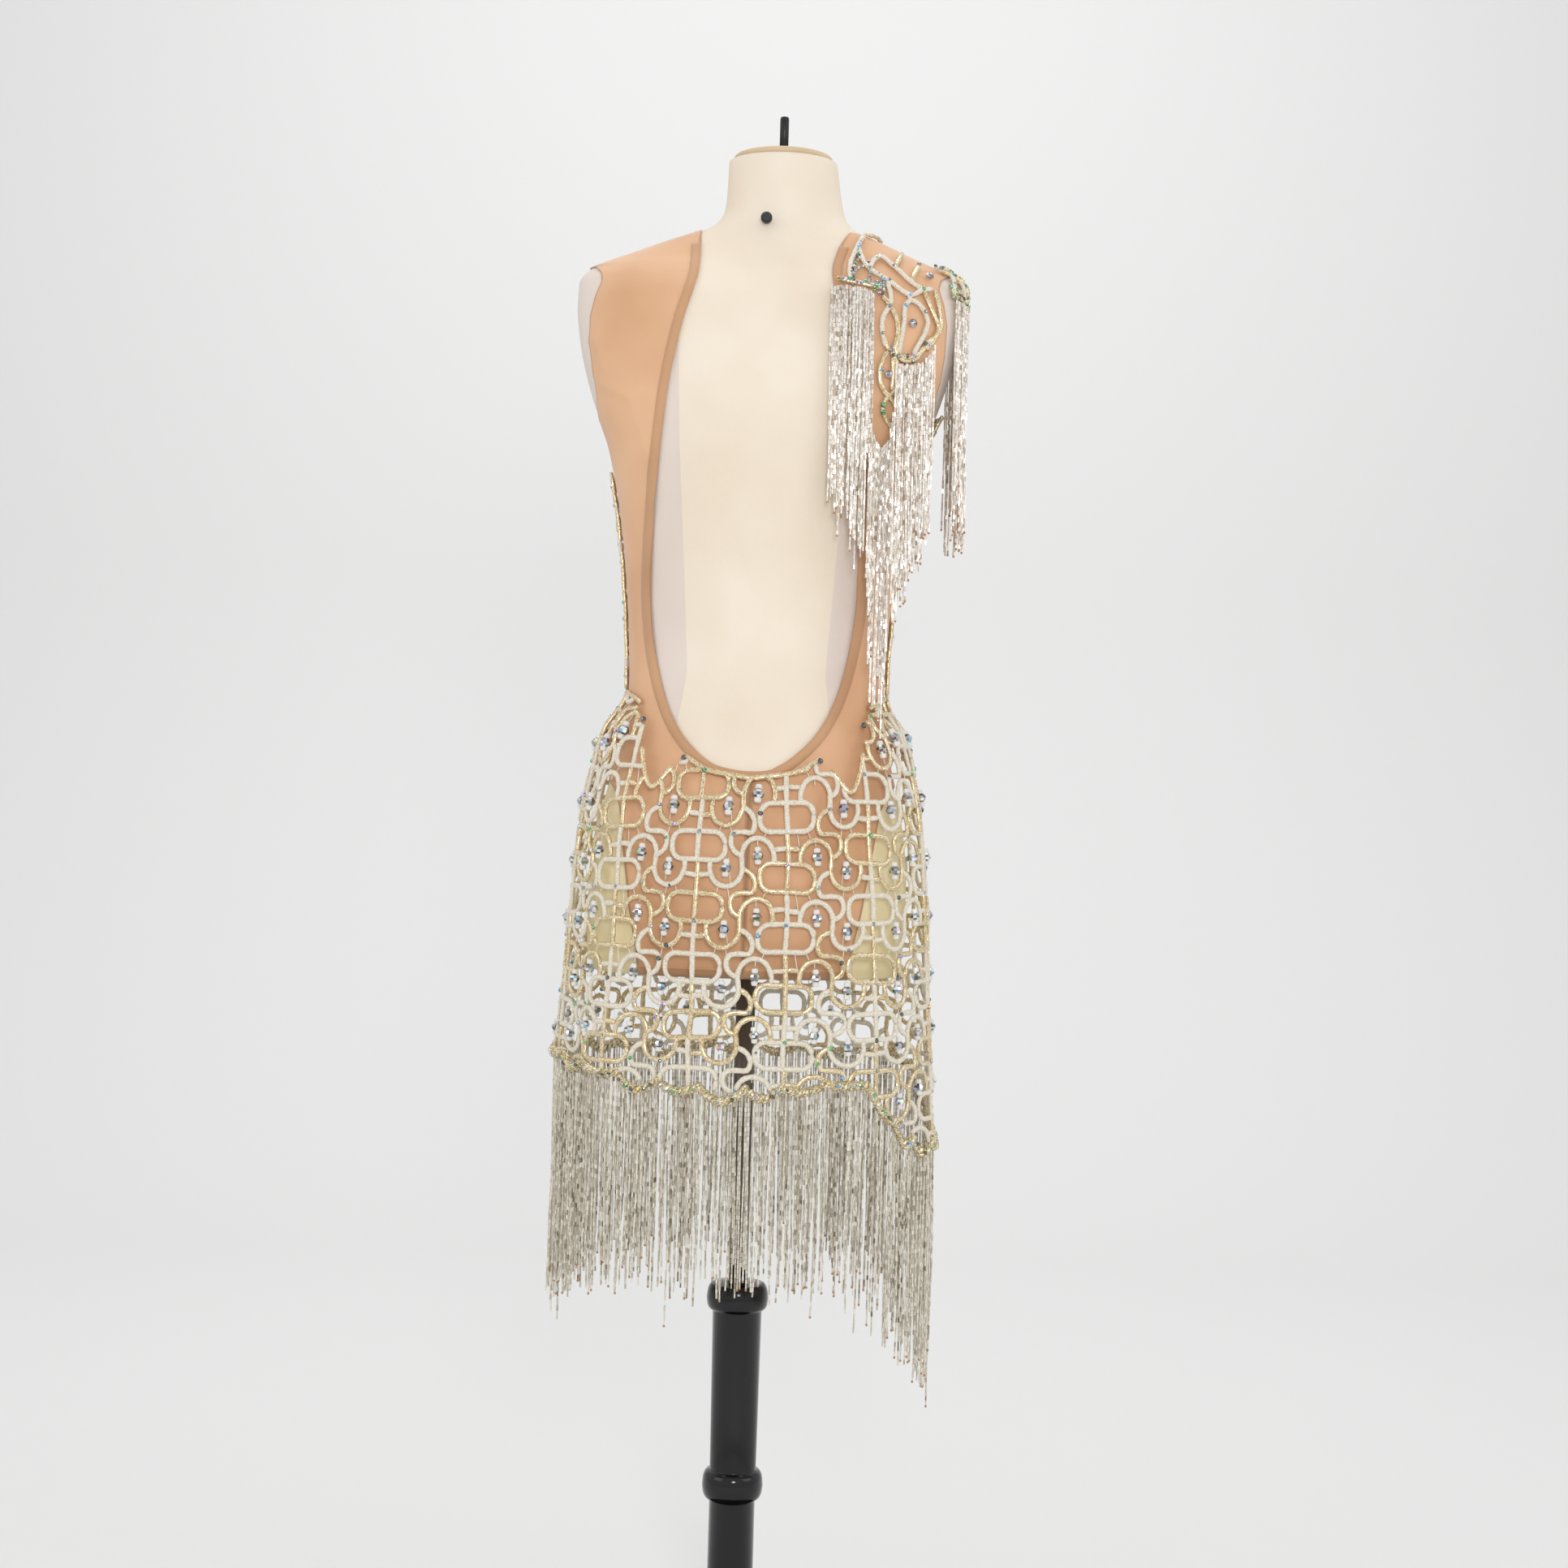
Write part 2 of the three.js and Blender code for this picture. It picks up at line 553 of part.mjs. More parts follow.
// a curtain of strands behind the back; columns are [x, top, foot] with x towards the wearer's right
function curtain(columns) {
  const rows = 8;
  const grid = [];
  for (let r = 0; r <= rows; r += 1) {
    grid.push(columns.map(({ x, top, foot }) => {
      const z = top - (top - foot) * (1 - r / rows) ** 2;
      const y = plumbDepth(x, z, top, "back") + curtainClear;
      return [new THREE.Vector3(-x, y, z), new THREE.Vector3(-x, y + cloth.fringeWall, z)];
    }));
  }
  return wallSolid(grid);
}

function buildShoulderFringe() {
  const silver = 0xd9d3c6;
  addPiece("fringe_shoulder_inner", curtain(innerFringeRows), silver, 0.3);
  addPiece("fringe_shoulder_middle", curtain(middleFringeRows), silver, 0.3);

  // round the shoulder tip, plumb from the epaulette's lower edge
  const { first, last, foot } = outerFringe;
  const top = epaulette.foot - cloth.seam;
  const grid = [foot, 1240, 1300, 1325, top].map((z) => Array.from({ length: 11 }, (_, c) => {
    const angle = first + (last - first) * c / 10;
    return [0, cloth.fringeWall].map((out) => {
      const edge = moved(formPoint, angle, top, cloth.fringeLift + out);
      const half = edge.y > 0 ? "back" : "front";
      const depth = z < top ? plumbDepth(-edge.x, z, top, half) + out : 0;
      return new THREE.Vector3(edge.x, Math.sign(edge.y) * Math.max(Math.abs(edge.y), depth), z);
    });
  }));
  addPiece("fringe_shoulder_outer", wallSolid(grid), silver, 0.3);
}

buildStand();
buildForm();
buildSuit();
buildSkirt();
buildBodice();
buildHemFringe();
buildShoulderFringe();

export default dress;
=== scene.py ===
import math
import random

import bmesh
import bpy
import numpy as np
from mathutils import Matrix, Vector


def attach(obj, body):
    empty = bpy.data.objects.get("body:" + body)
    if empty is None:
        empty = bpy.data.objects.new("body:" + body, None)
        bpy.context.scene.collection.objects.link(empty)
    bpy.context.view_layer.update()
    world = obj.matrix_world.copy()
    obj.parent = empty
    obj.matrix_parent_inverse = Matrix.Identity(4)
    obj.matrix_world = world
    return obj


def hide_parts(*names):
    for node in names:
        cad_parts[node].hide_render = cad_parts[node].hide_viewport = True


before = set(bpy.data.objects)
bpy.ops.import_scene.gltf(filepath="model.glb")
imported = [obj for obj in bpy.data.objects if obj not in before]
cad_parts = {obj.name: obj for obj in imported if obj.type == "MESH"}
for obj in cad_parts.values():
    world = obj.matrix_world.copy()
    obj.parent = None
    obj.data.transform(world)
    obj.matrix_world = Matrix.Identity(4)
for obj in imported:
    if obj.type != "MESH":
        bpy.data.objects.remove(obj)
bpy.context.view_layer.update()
scene = bpy.context.scene
mm = 0.001
tau = 2 * math.pi

# camera: level, behind the wearer, turned a little about its own axis
camera = {"x": -0.0317, "away": 2.31, "height": 0.875, "lens": 53.85, "roll": 1.6}


def placeCamera():
    data = bpy.data.cameras.new("camera")
    data.lens = camera["lens"]
    data.sensor_width = 36
    eye = bpy.data.objects.new("camera", data)
    scene.collection.objects.link(eye)
    c, s = math.cos(math.radians(camera["roll"])), math.sin(math.radians(camera["roll"]))
    eye.matrix_world = Matrix((
        (-c, s, 0, camera["x"]), (0, 0, 1, camera["away"]), (s, c, 0, camera["height"]), (0, 0, 0, 1)))
    scene.camera = eye


placeCamera()

# materials
def newMaterial(name, color, roughness, metallic=0.0, **sockets):
    material = bpy.data.materials.new(name)
    material.use_nodes = True
    shader = material.node_tree.nodes["Principled BSDF"]
    shader.inputs["Base Color"].default_value = (*color, 1)
    shader.inputs["Roughness"].default_value = roughness
    shader.inputs["Metallic"].default_value = metallic
    for socket, value in sockets.items():
        shader.inputs[socket.replace("_", " ")].default_value = value
    return material


def addNode(material, kind, **values):
    node = material.node_tree.nodes.new(kind)
    for key, value in values.items():
        if key in node.inputs.keys():
            node.inputs[key].default_value = value
        else:
            setattr(node, key, value)
    return node


def join(material, source, target):
    material.node_tree.links.new(source, target)


def shaderOf(material):
    return material.node_tree.nodes["Principled BSDF"]


def spots(material, scale, kind="ShaderNodeTexNoise", stretch=(1, 1, 1), **values):
    place = addNode(material, "ShaderNodeTexCoord")
    mapping = addNode(material, "ShaderNodeMapping", Scale=stretch)
    texture = addNode(material, kind, Scale=scale, **values)
    join(material, place.outputs["Object"], mapping.inputs["Vector"])
    join(material, mapping.outputs["Vector"], texture.inputs["Vector"])
    return texture


def blendColors(material, factor, stops):
    ramp = addNode(material, "ShaderNodeValToRGB")
    while len(ramp.color_ramp.elements) < len(stops):
        ramp.color_ramp.elements.new(0.5)
    for element, (place, color) in zip(ramp.color_ramp.elements, stops):
        element.position = place
        element.color = (*color, 1)
    join(material, factor, ramp.inputs["Fac"])
    return ramp.outputs["Color"]


def raiseSurface(material, height, strength, distance):
    bump = addNode(material, "ShaderNodeBump", Strength=strength, Distance=distance)
    join(material, height, bump.inputs["Height"])
    join(material, bump.outputs["Normal"], shaderOf(material).inputs["Normal"])


def addGrain(material, scale, smoothest, roughest, strength, stretch=(1, 1, 1)):
    grain = spots(material, scale, stretch=stretch)
    level = addNode(material, "ShaderNodeMapRange")
    level.inputs["To Min"].default_value = smoothest
    level.inputs["To Max"].default_value = roughest
    join(material, grain.outputs[0], level.inputs["Value"])
    join(material, level.outputs[0], shaderOf(material).inputs["Roughness"])
    raiseSurface(material, grain.outputs[0], strength, 0.0005)
    return material


def makeCordMaterial(name, dark, light, metallic, roughness, grain, glitter):
    material = newMaterial(name, light, roughness, metallic, Sheen_Weight=0.2)
    if glitter:
        # random colour per fleck: the gold tones are the cord's own colour, the near-white flecks are painted
        # glints and the darkest flecks painted shade
        glintFlecks = spots(material, grain, "ShaderNodeTexVoronoi")
        split = addNode(material, "ShaderNodeSeparateColor")
        join(material, glintFlecks.outputs["Color"], split.inputs["Color"])
        color = blendColors(material, split.outputs["Red"],
                            [(0.0, dark), (0.45, light), (0.9, (1.0, 0.95, 0.8))])
        raiseSurface(material, split.outputs["Green"], 0.9, 0.0011)
    else:
        yarn = spots(material, grain, Detail=3.0)
        color = blendColors(material, yarn.outputs["Fac"], [(0.32, dark), (0.62, light)])
        raiseSurface(material, yarn.outputs["Fac"], 0.8, 0.0012)
    join(material, color, shaderOf(material).inputs["Base Color"])
    return material


def makeClothMaterial(name, dark, light, roughness, weave, sheen):
    material = newMaterial(name, light, roughness, 0.0, Sheen_Weight=sheen, Sheen_Roughness=0.4)
    soft = spots(material, 9.0, Detail=2.0)
    color = blendColors(material, soft.outputs["Fac"], [(0.35, dark), (0.65, light)])
    join(material, color, shaderOf(material).inputs["Base Color"])
    fine = spots(material, weave, Detail=1.0, stretch=(1, 1, 0.5))
    raiseSurface(material, fine.outputs["Fac"], 0.35, 0.0005)
    return material


# bead colour read from the per-bead tone attribute: the near-white end is painted glints, the dark end
# painted shade between beads
def makeGlintShadeMaterial(name, stops, roughness, metallic, **sockets):
    material = newMaterial(name, stops[-1][1], roughness, metallic, **sockets)
    tone = addNode(material, "ShaderNodeAttribute", attribute_name="tone")
    join(material, blendColors(material, tone.outputs["Fac"], stops), shaderOf(material).inputs["Base Color"])
    return material


# stone colour comes from the per-facet tint attribute, which holds the stone's own colour with painted glints
# and painted shade
def makeStoneMaterial():
    material = newMaterial("coated_stone", (0.6, 0.6, 0.6), 0.06, 0.9)
    tint = addNode(material, "ShaderNodeAttribute", attribute_name="tint")
    join(material, tint.outputs["Color"], shaderOf(material).inputs["Base Color"])
    return material


coverCloth = makeClothMaterial("cover_cloth", (0.80, 0.69, 0.55), (0.86, 0.76, 0.63), 0.85, 1400, 0.1)
coverGrey = makeClothMaterial("cover_side", (0.72, 0.61, 0.54), (0.77, 0.67, 0.60), 0.85, 1400, 0.1)
coverYellow = makeClothMaterial("cover_hip", (0.84, 0.72, 0.42), (0.90, 0.80, 0.52), 0.85, 1400, 0.1)
nudeMesh = makeClothMaterial("nude_mesh", (0.66, 0.37, 0.20), (0.76, 0.46, 0.27), 0.7, 1600, 0.3)
nudeHem = makeClothMaterial("nude_hem", (0.50, 0.27, 0.14), (0.60, 0.34, 0.18), 0.7, 1600, 0.3)
ivoryCord = makeCordMaterial("ivory_cord", (0.62, 0.52, 0.36), (0.90, 0.85, 0.74), 0.0, 0.55, 900, False)
goldCord = makeCordMaterial("gold_cord", (0.42, 0.26, 0.08), (0.88, 0.68, 0.34), 0.6, 0.26, 1300, True)
hemCord = makeCordMaterial("hem_braid", (0.28, 0.20, 0.07), (0.70, 0.55, 0.26), 0.6, 0.26, 1000, True)
whiteThread = addGrain(newMaterial("white_thread", (0.85, 0.80, 0.70), 0.5), 900, 0.4, 0.6, 0.2)
silverBead = makeGlintShadeMaterial("silver_bead",
                              [(0.0, (0.42, 0.33, 0.24)), (0.4, (0.76, 0.68, 0.59)),
                               (1.0, (1.0, 0.97, 0.92))], 0.28, 0.35)
champagneBead = makeGlintShadeMaterial("champagne_bead",
                                 [(0.0, (0.22, 0.18, 0.12)), (0.3, (0.56, 0.50, 0.40)),
                                  (1.0, (0.90, 0.86, 0.76))], 0.26, 0.35)
tanKnot = addGrain(newMaterial("tan_knot", (0.48, 0.24, 0.11), 0.6), 1200, 0.5, 0.7, 0.3)
frostedCup = addGrain(newMaterial("frosted_cup", (0.94, 0.92, 0.88), 0.12, 0.0, Transmission_Weight=0.25,
                                  IOR=1.45), 600, 0.08, 0.2, 0.1)
lacquer = addGrain(newMaterial("black_lacquer", (0.004, 0.004, 0.0045), 0.12, Coat_Weight=0.3,
                               Coat_Roughness=0.05, Specular_IOR_Level=0.3), 60, 0.08, 0.2, 0.02)
poleSteel = addGrain(newMaterial("pole_steel", (0.14, 0.115, 0.10), 0.3, 0.9), 260, 0.24, 0.42, 0.1,
                     (1, 1, 0.05))
darkMetal = addGrain(newMaterial("dark_metal", (0.03, 0.03, 0.033), 0.35, 0.6), 300, 0.3, 0.45, 0.1)
paleWood = makeClothMaterial("pale_wood", (0.62, 0.46, 0.28), (0.72, 0.58, 0.38), 0.5, 300, 0.0)
coatedStone = makeStoneMaterial()
print("materials made")



# tables of the body and the dress, millimetres; z from the floor
formTable = {"z": [690, 702, 738, 778, 822, 872, 920, 968, 1020, 1080, 1140, 1200, 1250, 1300, 1340, 1360,
                   1372, 1381, 1392, 1404, 1414, 1424, 1437, 1462, 1490],
             "half": [149, 154, 156, 156, 152, 140, 129, 124, 126, 131, 139, 152, 171, 184, 189, 189, 182,
                      166, 140, 112, 87, 69, 60, 56, 54],
             "front": [90, 95, 99, 101, 102, 100, 95, 91, 91, 95, 102, 107, 104, 98, 86, 76, 67, 60, 56, 54,
                       54, 54, 53, 52, 51],
             "back": [98, 105, 113, 116, 111, 98, 84, 77, 79, 85, 91, 95, 97, 96, 88, 78, 69, 62, 57, 53,
                      51, 50, 50, 50, 50],
             "mid": [0, 0, 0, 0, 0, 0, 0, 0, 0, 0, 0, 0, 0, -2, -4, -6, -7, -8, -9, -10, -11, -12, -14, -18,
                     -22],
             "lean": [-2.5, -2.5, -2, -1.5, -1, 0, 1, 2, 2.3, 2.7, 3, 3.4, 3.8, 4.2, 5, 5.5, 6, 7, 8.5, 11,
                      14, 16, 16.5, 15.5, 14],
             "square": [2.3, 2.3, 2.25, 2.2, 2.2, 2.15, 2.1, 2.1, 2.1, 2.15, 2.2, 2.35, 2.55, 2.7, 2.75,
                        2.7, 2.6, 2.45, 2.3, 2.2, 2.1, 2.05, 2, 2, 2]}
skirtTable = {
    "z": [515, 608, 688, 768, 848, 888, 928, 964],
    "half": [186, 182, 177, 172, 165, 157, 146, 131],
    "front": [119, 116, 112, 109, 107, 104, 99, 95],
    "back": [134, 131, 127, 123, 115, 100, 90, 82],
    "mid": [0, 0, 0, 0, 0, 0, 0, 0],
    "lean": [1, 1, 1, 1, 1, 1, 1, 2],
    "square": [2.15, 2.15, 2.15, 2.15, 2.15, 2.15, 2.1, 2.1],
}
bust = {"out": 19, "x": 70, "z": 1212, "wide": 48, "tall": 52}
waistSeam = 964
shoulderTop = 1413
skirtBlend = {"height": 42, "lift": 3.0, "ripple": 4.0}


def smoothCurve(xs, ys):
    xs, ys = np.array(xs, float), np.array(ys, float)
    slope = np.diff(ys) / np.diff(xs)
    tangent = np.zeros_like(ys)
    tangent[0], tangent[-1] = slope[0], slope[-1]
    product, total = slope[:-1] * slope[1:], slope[:-1] + slope[1:]
    tangent[1:-1] = np.where(product > 0, 2 * product / np.where(total == 0, 1, total), 0)

    def at(x):
        x = np.clip(np.asarray(x, float), xs[0], xs[-1])
        i = np.clip(np.searchsorted(xs, x, side="right") - 1, 0, len(xs) - 2)
        step = xs[i + 1] - xs[i]
        t = (x - xs[i]) / step
        t2, t3 = t * t, t * t * t
        return ((2 * t3 - 3 * t2 + 1) * ys[i] + (t3 - 2 * t2 + t) * step * tangent[i]
                + (3 * t2 - 2 * t3) * ys[i + 1] + (t3 - t2) * step * tangent[i + 1])
    return at


def smoothStep(x):
    t = np.clip(x, 0, 1)
    return t * t * (3 - 2 * t)


formCurves = {key: smoothCurve(formTable["z"], column) for key, column in formTable.items() if key != "z"}
skirtCurves = {key: smoothCurve(skirtTable["z"], column) for key, column in skirtTable.items() if key != "z"}


def sectionPoint(curves, angle, z):
    angle, z = np.broadcast_arrays(np.asarray(angle, float), np.asarray(z, float))
    c, n = np.cos(np.radians(angle)), np.sin(np.radians(angle))
    power = curves["square"](z)
    r = (np.abs(c) ** power + np.abs(n) ** power) ** (-1 / power)
    depth = np.where(n >= 0, curves["back"](z), curves["front"](z))
    return np.stack([r * c * curves["half"](z) - curves["lean"](z), r * n * depth + curves["mid"](z), z], -1)


def formPoint(angle, z):
    p = sectionPoint(formCurves, angle, z)
    across = (np.abs(p[..., 0]) - bust["x"]) / bust["wide"]
    up = (p[..., 2] - bust["z"]) / bust["tall"]
    p[..., 1] -= np.where(
        p[..., 1] < 0, bust["out"] * np.exp(-across ** 2 - up ** 2) * smoothStep(-p[..., 1] / 60), 0)
    return p


def moved(surface, angle, z, out):
    p = surface(angle, z)
    normal = normalOf(surface, angle, z)
    return p + normal * np.asarray(out, float)[..., None]


def normalOf(surface, angle, z):
    angle, z = np.broadcast_arrays(np.asarray(angle, float), np.asarray(z, float))
    along = surface(angle + 0.4, z) - surface(angle - 0.4, z)
    up = surface(angle, z + 0.8) - surface(angle, z - 0.8)
    normal = np.cross(along, up)
    return normal / np.linalg.norm(normal, axis=-1, keepdims=True)


def skirtPoint(angle, z):
    free = sectionPoint(skirtCurves, angle, z)
    a, z = np.broadcast_arrays(np.radians(angle), np.asarray(z, float))
    ripple = skirtBlend["ripple"] * smoothStep((880 - z) / 300) * (
        0.6 * np.sin(9 * a + 0.7) + 0.4 * np.sin(5 * a + 2.1))
    free[..., 0] += ripple * np.cos(a)
    free[..., 1] += ripple * np.sin(a)
    near = moved(formPoint, angle, z, skirtBlend["lift"])
    leave = smoothStep((waistSeam - z) / skirtBlend["height"])[..., None]
    p = near + (free - near) * leave
    p[..., 2] = z
    return p


def angleAtX(z, x, back=True):
    # x is from the form's centre line towards the wearer's left
    share = np.minimum(1, np.abs(x) / formCurves["half"](z))
    power = formCurves["square"](z)
    deep = (1 - share ** power) ** (1 / power)
    angle = np.degrees(np.arctan2(deep if back else -deep, np.sign(x) * share))
    return np.where(angle < 0, angle + 360, angle)


# meshes
def linkPiece(name, mesh, slot, *nodes):
    piece = bpy.data.objects.new(name, mesh)
    scene.collection.objects.link(piece)
    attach(piece, "root")
    if nodes:
        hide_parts(*nodes)
    return piece


def makeMesh(name, points, faces, materials, indices=None, smooth=True):
    mesh = bpy.data.meshes.new(name)
    mesh.from_pydata((np.asarray(points) * mm).tolist(), [], [list(map(int, f)) for f in faces])
    for material in materials:
        mesh.materials.append(material)
    if indices is not None:
        mesh.polygons.foreach_set("material_index", np.asarray(indices, np.int32))
    mesh.polygons.foreach_set("use_smooth", np.full(len(mesh.polygons), smooth))
    mesh.update()
    return mesh


def gridFaces(rows, columns, closed=False):
    r, c = np.meshgrid(np.arange(rows - 1), np.arange(columns if closed else columns - 1), indexing="ij")
    r, c = r.ravel(), c.ravel()
    k = (c + 1) % columns
    return np.stack([r * columns + c, r * columns + k, (r + 1) * columns + k, (r + 1) * columns + c], -1)


def latheMesh(name, profile, segments, material):
    turns = np.arange(segments) * tau / segments
    points = np.array([[r * math.cos(t), r * math.sin(t), z] for r, z in profile for t in turns])
    faces = gridFaces(len(profile), segments, True).tolist()
    faces.append(list(range(segments))[::-1])
    faces.append([(len(profile) - 1) * segments + i for i in range(segments)])
    mesh = makeMesh(name, points, faces, [material])
    mesh.polygons[len(faces) - 1].use_smooth = False
    mesh.polygons[len(faces) - 2].use_smooth = False
    return mesh


def addBevel(piece, width, angle=35, segments=2):
    bevel = piece.modifiers.new("soft edges", "BEVEL")
    bevel.width = width * mm
    bevel.segments = segments
    bevel.angle_limit = math.radians(angle)


# stand
stand = {"base": 185, "crown": 40, "pole": 9.5, "segments": 96}


def buildStand():
    n = stand["segments"]
    base = [(stand["base"] - 2, 0), (stand["base"], 2), (stand["base"], 10), (181, 14), (125, 19), (62, 23),
            (stand["crown"], 26), (36, 26)]
    linkPiece("base", latheMesh("base", base, n, lacquer), "gloss_black", "base_plate")
    post = [(33, 26.3), (33, 34.3), (31, 37), (28, 41), (26, 44.3), (24, 51), (22.5, 60.3), (22.5, 171),
            (26, 172), (28, 174.5), (29.2, 178), (30, 185), (29.2, 193), (28, 196.5), (26, 199),
            (22.7, 200), (24.2, 357), (27, 358), (28.8, 360), (29.8, 363), (30.4, 369), (29.9, 374),
            (28.8, 379), (26.2, 383), (10.2, 383)]
    piece = linkPiece("turned_post", latheMesh("turned_post", post, n, lacquer), "gloss_black", "post")
    addBevel(piece, 0.8)
    pole = [(stand["pole"], 384), (stand["pole"], 689.7)]
    linkPiece("steel_pole", latheMesh("steel_pole", pole, 48, poleSteel), "pole_steel", "pole")


# dress form: fine rings, panels of the cover told apart by shade
coverSeams = {
    "princess": [(1380, 76), (1300, 84), (1200, 80), (1080, 72), (980, 66), (900, 78), (800, 92), (700, 98)],
    "hip": 878, "hipOut": 104, "columns": (30, 42),
}


def seamedAngles(angles, z):
    # the columns of one ring, drawn aside so that the same ones always lie on the cover's seams
    half = formCurves["half"](z)
    outs = (np.interp(z, *zip(*sorted(coverSeams["princess"]))), coverSeams["hipOut"])
    evenly, drawn = [0, 90, 180, 270, 360], [0, 90, 180, 270, 360]
    for out, column, limit in zip(outs, coverSeams["columns"], (0.74, 0.88)):
        for side, back in ((1, True), (-1, True), (-1, False), (1, False)):
            evenly.append((90 if back else 270) - (side if back else -side) * column)
            drawn.append(float(angleAtX(np.array([z]), np.array([side * min(out, limit * half)]), back)[0]))
    order = np.argsort(evenly)
    return np.interp(angles, np.array(evenly)[order], np.array(drawn)[order])


def buildForm():
    heights = np.unique(np.concatenate([
        np.linspace(690, 702, 7), np.linspace(702, 1340, 107), np.linspace(1340, 1424, 43),
        np.linspace(1424, 1490, 16)]))
    angles = np.arange(180) * 2.0
    a = np.array([seamedAngles(angles, height) for height in heights])
    z = np.repeat(heights[:, None], len(angles), 1)
    points = formPoint(a, z)
    points = moved(formPoint, a, z, coverDent(points)).reshape(-1, 3)
    faces = gridFaces(len(heights), len(angles), True)
    middle = points[faces].mean(1)
    outward = np.abs((faces[:, 0] % len(angles) * 2 + 1) % 180 - 90)
    princess, hip = coverSeams["columns"]
    index = np.where((outward > princess) & (middle[:, 2] < 1396), 1, 0)
    index = np.where((middle[:, 2] < coverSeams["hip"]) & (outward > hip), 2, index)
    faceList = faces.tolist()
    faceList.append(list(range(len(angles)))[::-1])
    last = (len(heights) - 1) * len(angles)
    faceList.append([last + i for i in range(len(angles))])
    mesh = makeMesh("form_cover", points, faceList, [coverCloth, coverGrey, coverYellow],
                    list(index) + [0, 0])
    linkPiece("form_cover", mesh, "form_cover", "form_torso")

    centre = points[last:last + len(angles)].mean(0)
    capProfile = [(44, 0), (49.5, 0.4), (49.5, 4), (48, 6), (44, 7), (8, 7)]
    cap = latheMesh("cap_disc", capProfile, 64, paleWood)
    piece = linkPiece("cap_disc", cap, "neck_wood", "neck_cap")
    piece.location = (centre[0] * mm, centre[1] * mm, 1490.3 * mm)
    rod = latheMesh("rod_steel", [(4.4, 0), (4.4, 38.5), (3.6, 40)], 32, darkMetal)
    piece = linkPiece("rod_steel", rod, "dark_metal", "top_rod")
    piece.location = (centre[0] * mm, centre[1] * mm, 1497.6 * mm)
    knob = bpy.data.objects[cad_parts["nape_knob"].name]
    knob.data.materials.clear()
    knob.data.materials.append(darkMetal)


def coverDent(points):
    # shallow grooves where the cover's panels are sewn, and the waist tape
    x, z = points[..., 0], points[..., 2]
    princess = np.interp(z, *zip(*sorted(coverSeams["princess"])))
    dent = -0.7 * np.exp(-((np.abs(x) - princess) / 1.6) ** 2) * (z < 1396)
    for tape in (963, 943):
        dent = dent + 0.35 * np.exp(-((z - tape) / 1.2) ** 2)
    return dent


buildStand()
buildForm()
print("stand and form built")

# nude mesh suit
suit = {"lift": 1.5, "thick": 0.6, "foot": 691, "rowStep": 4.0, "columns": 44, "armhole": (1226, 1264)}
suitEdge = [(704, 100), (717, 102), (756, 110), (779, 113), (822, 120), (849, 124), (868, 132), (884, 150),
            (900, 205), (1240, 205), (1249, 166), (1262, 166), (1290, 170), (1320, 171), (1340, 167),
            (1354, 162), (1364, 164), (1372, 171), (1380, 205), (1413, 205)]
scoopEdge = [(885, 0), (886, 14), (889, 26), (894, 36), (902, 46), (913, 57), (928, 68), (948, 78), (972, 86),
             (1005, 93), (1050, 98), (1100, 98), (1180, 94), (1250, 87), (1310, 76), (1350, 66), (1372, 64),
             (1395, 67), (1416, 73)]
scoopShift = 5
frontNeck = [(1330, 0), (1330.6, 9), (1332, 17.5), (1334, 26), (1343, 44), (1358, 56), (1380, 63), (1416, 73)]
# soft folds of the mesh: angle round the body, lowest and highest z, width in degrees, height in mm
meshFolds = [(128, 968, 1190, 2.2, 1.3), (134, 1000, 1270, 1.8, 1.0), (141, 985, 1150, 2.4, 1.5),
             (150, 1040, 1240, 2.0, 0.9), (120, 900, 985, 2.5, 1.2), (112, 888, 950, 2.2, 0.8),
             (52, 960, 1180, 2.4, 1.3), (44, 1010, 1260, 1.9, 1.0), (38, 980, 1130, 2.2, 1.4),
             (62, 895, 970, 2.3, 0.9), (84, 720, 830, 1.3, 0.9), (97, 705, 790, 1.0, 1.0),
             (33, 1250, 1330, 2.6, 1.6), (228, 1000, 1150, 2.5, 1.0), (309, 990, 1130, 2.3, 1.0),
             (262, 710, 800, 1.6, 0.8)]
slantFolds = [  # from one point to another, as (angle, z, angle, z, width mm, height mm)
    (26, 1262, 48, 1236, 6, 1.8), (24, 1300, 46, 1290, 6, 1.4), (150, 1250, 132, 1222, 6, 1.3),
    (100, 884, 122, 926, 5, 1.0), (78, 884, 60, 925, 5, 0.9), (72, 700, 60, 760, 7, 1.0),
    (108, 700, 118, 770, 7, 1.1),
]


def meshHeight(angle, z):
    height = np.zeros(np.broadcast(angle, z).shape)
    for at, low, high, wide, tall in meshFolds:
        drift = at + 1.4 * np.sin((z - low) / 61 + at)
        window = smoothStep((z - low) / 45) * smoothStep((high - z) / 45)
        height = height + tall * np.exp(-((angle - drift) / wide) ** 2) * window
    for a0, z0, a1, z1, wide, tall in slantFolds:
        du, dz = (a1 - a0) * 1.9, z1 - z0
        length = math.hypot(du, dz)
        u, w = (angle - a0) * 1.9, z - z0
        along = (u * du + w * dz) / length
        off = (u * dz - w * du) / length
        window = smoothStep(along / 14 + 0.2) * smoothStep((length - along) / 14 + 0.2)
        height = height + tall * np.exp(-(off / wide) ** 2) * window
    return height


def suitOuter(z, back):
    x = np.interp(z, *zip(*suitEdge))
    angle = np.where(x >= formCurves["half"](z) - 1, 180.0, angleAtX(z, -x, back))
    low, high = suit["armhole"]
    edge = angleAtX(np.array([high * 1.0]), np.array([-166.0]), back)[0]
    rise = np.clip((z - low) / (high - low), 0, 1)
    return np.where((z > low) & (z < high), 180 + (edge - 180) * np.sqrt(1 - (1 - rise) ** 2), angle)


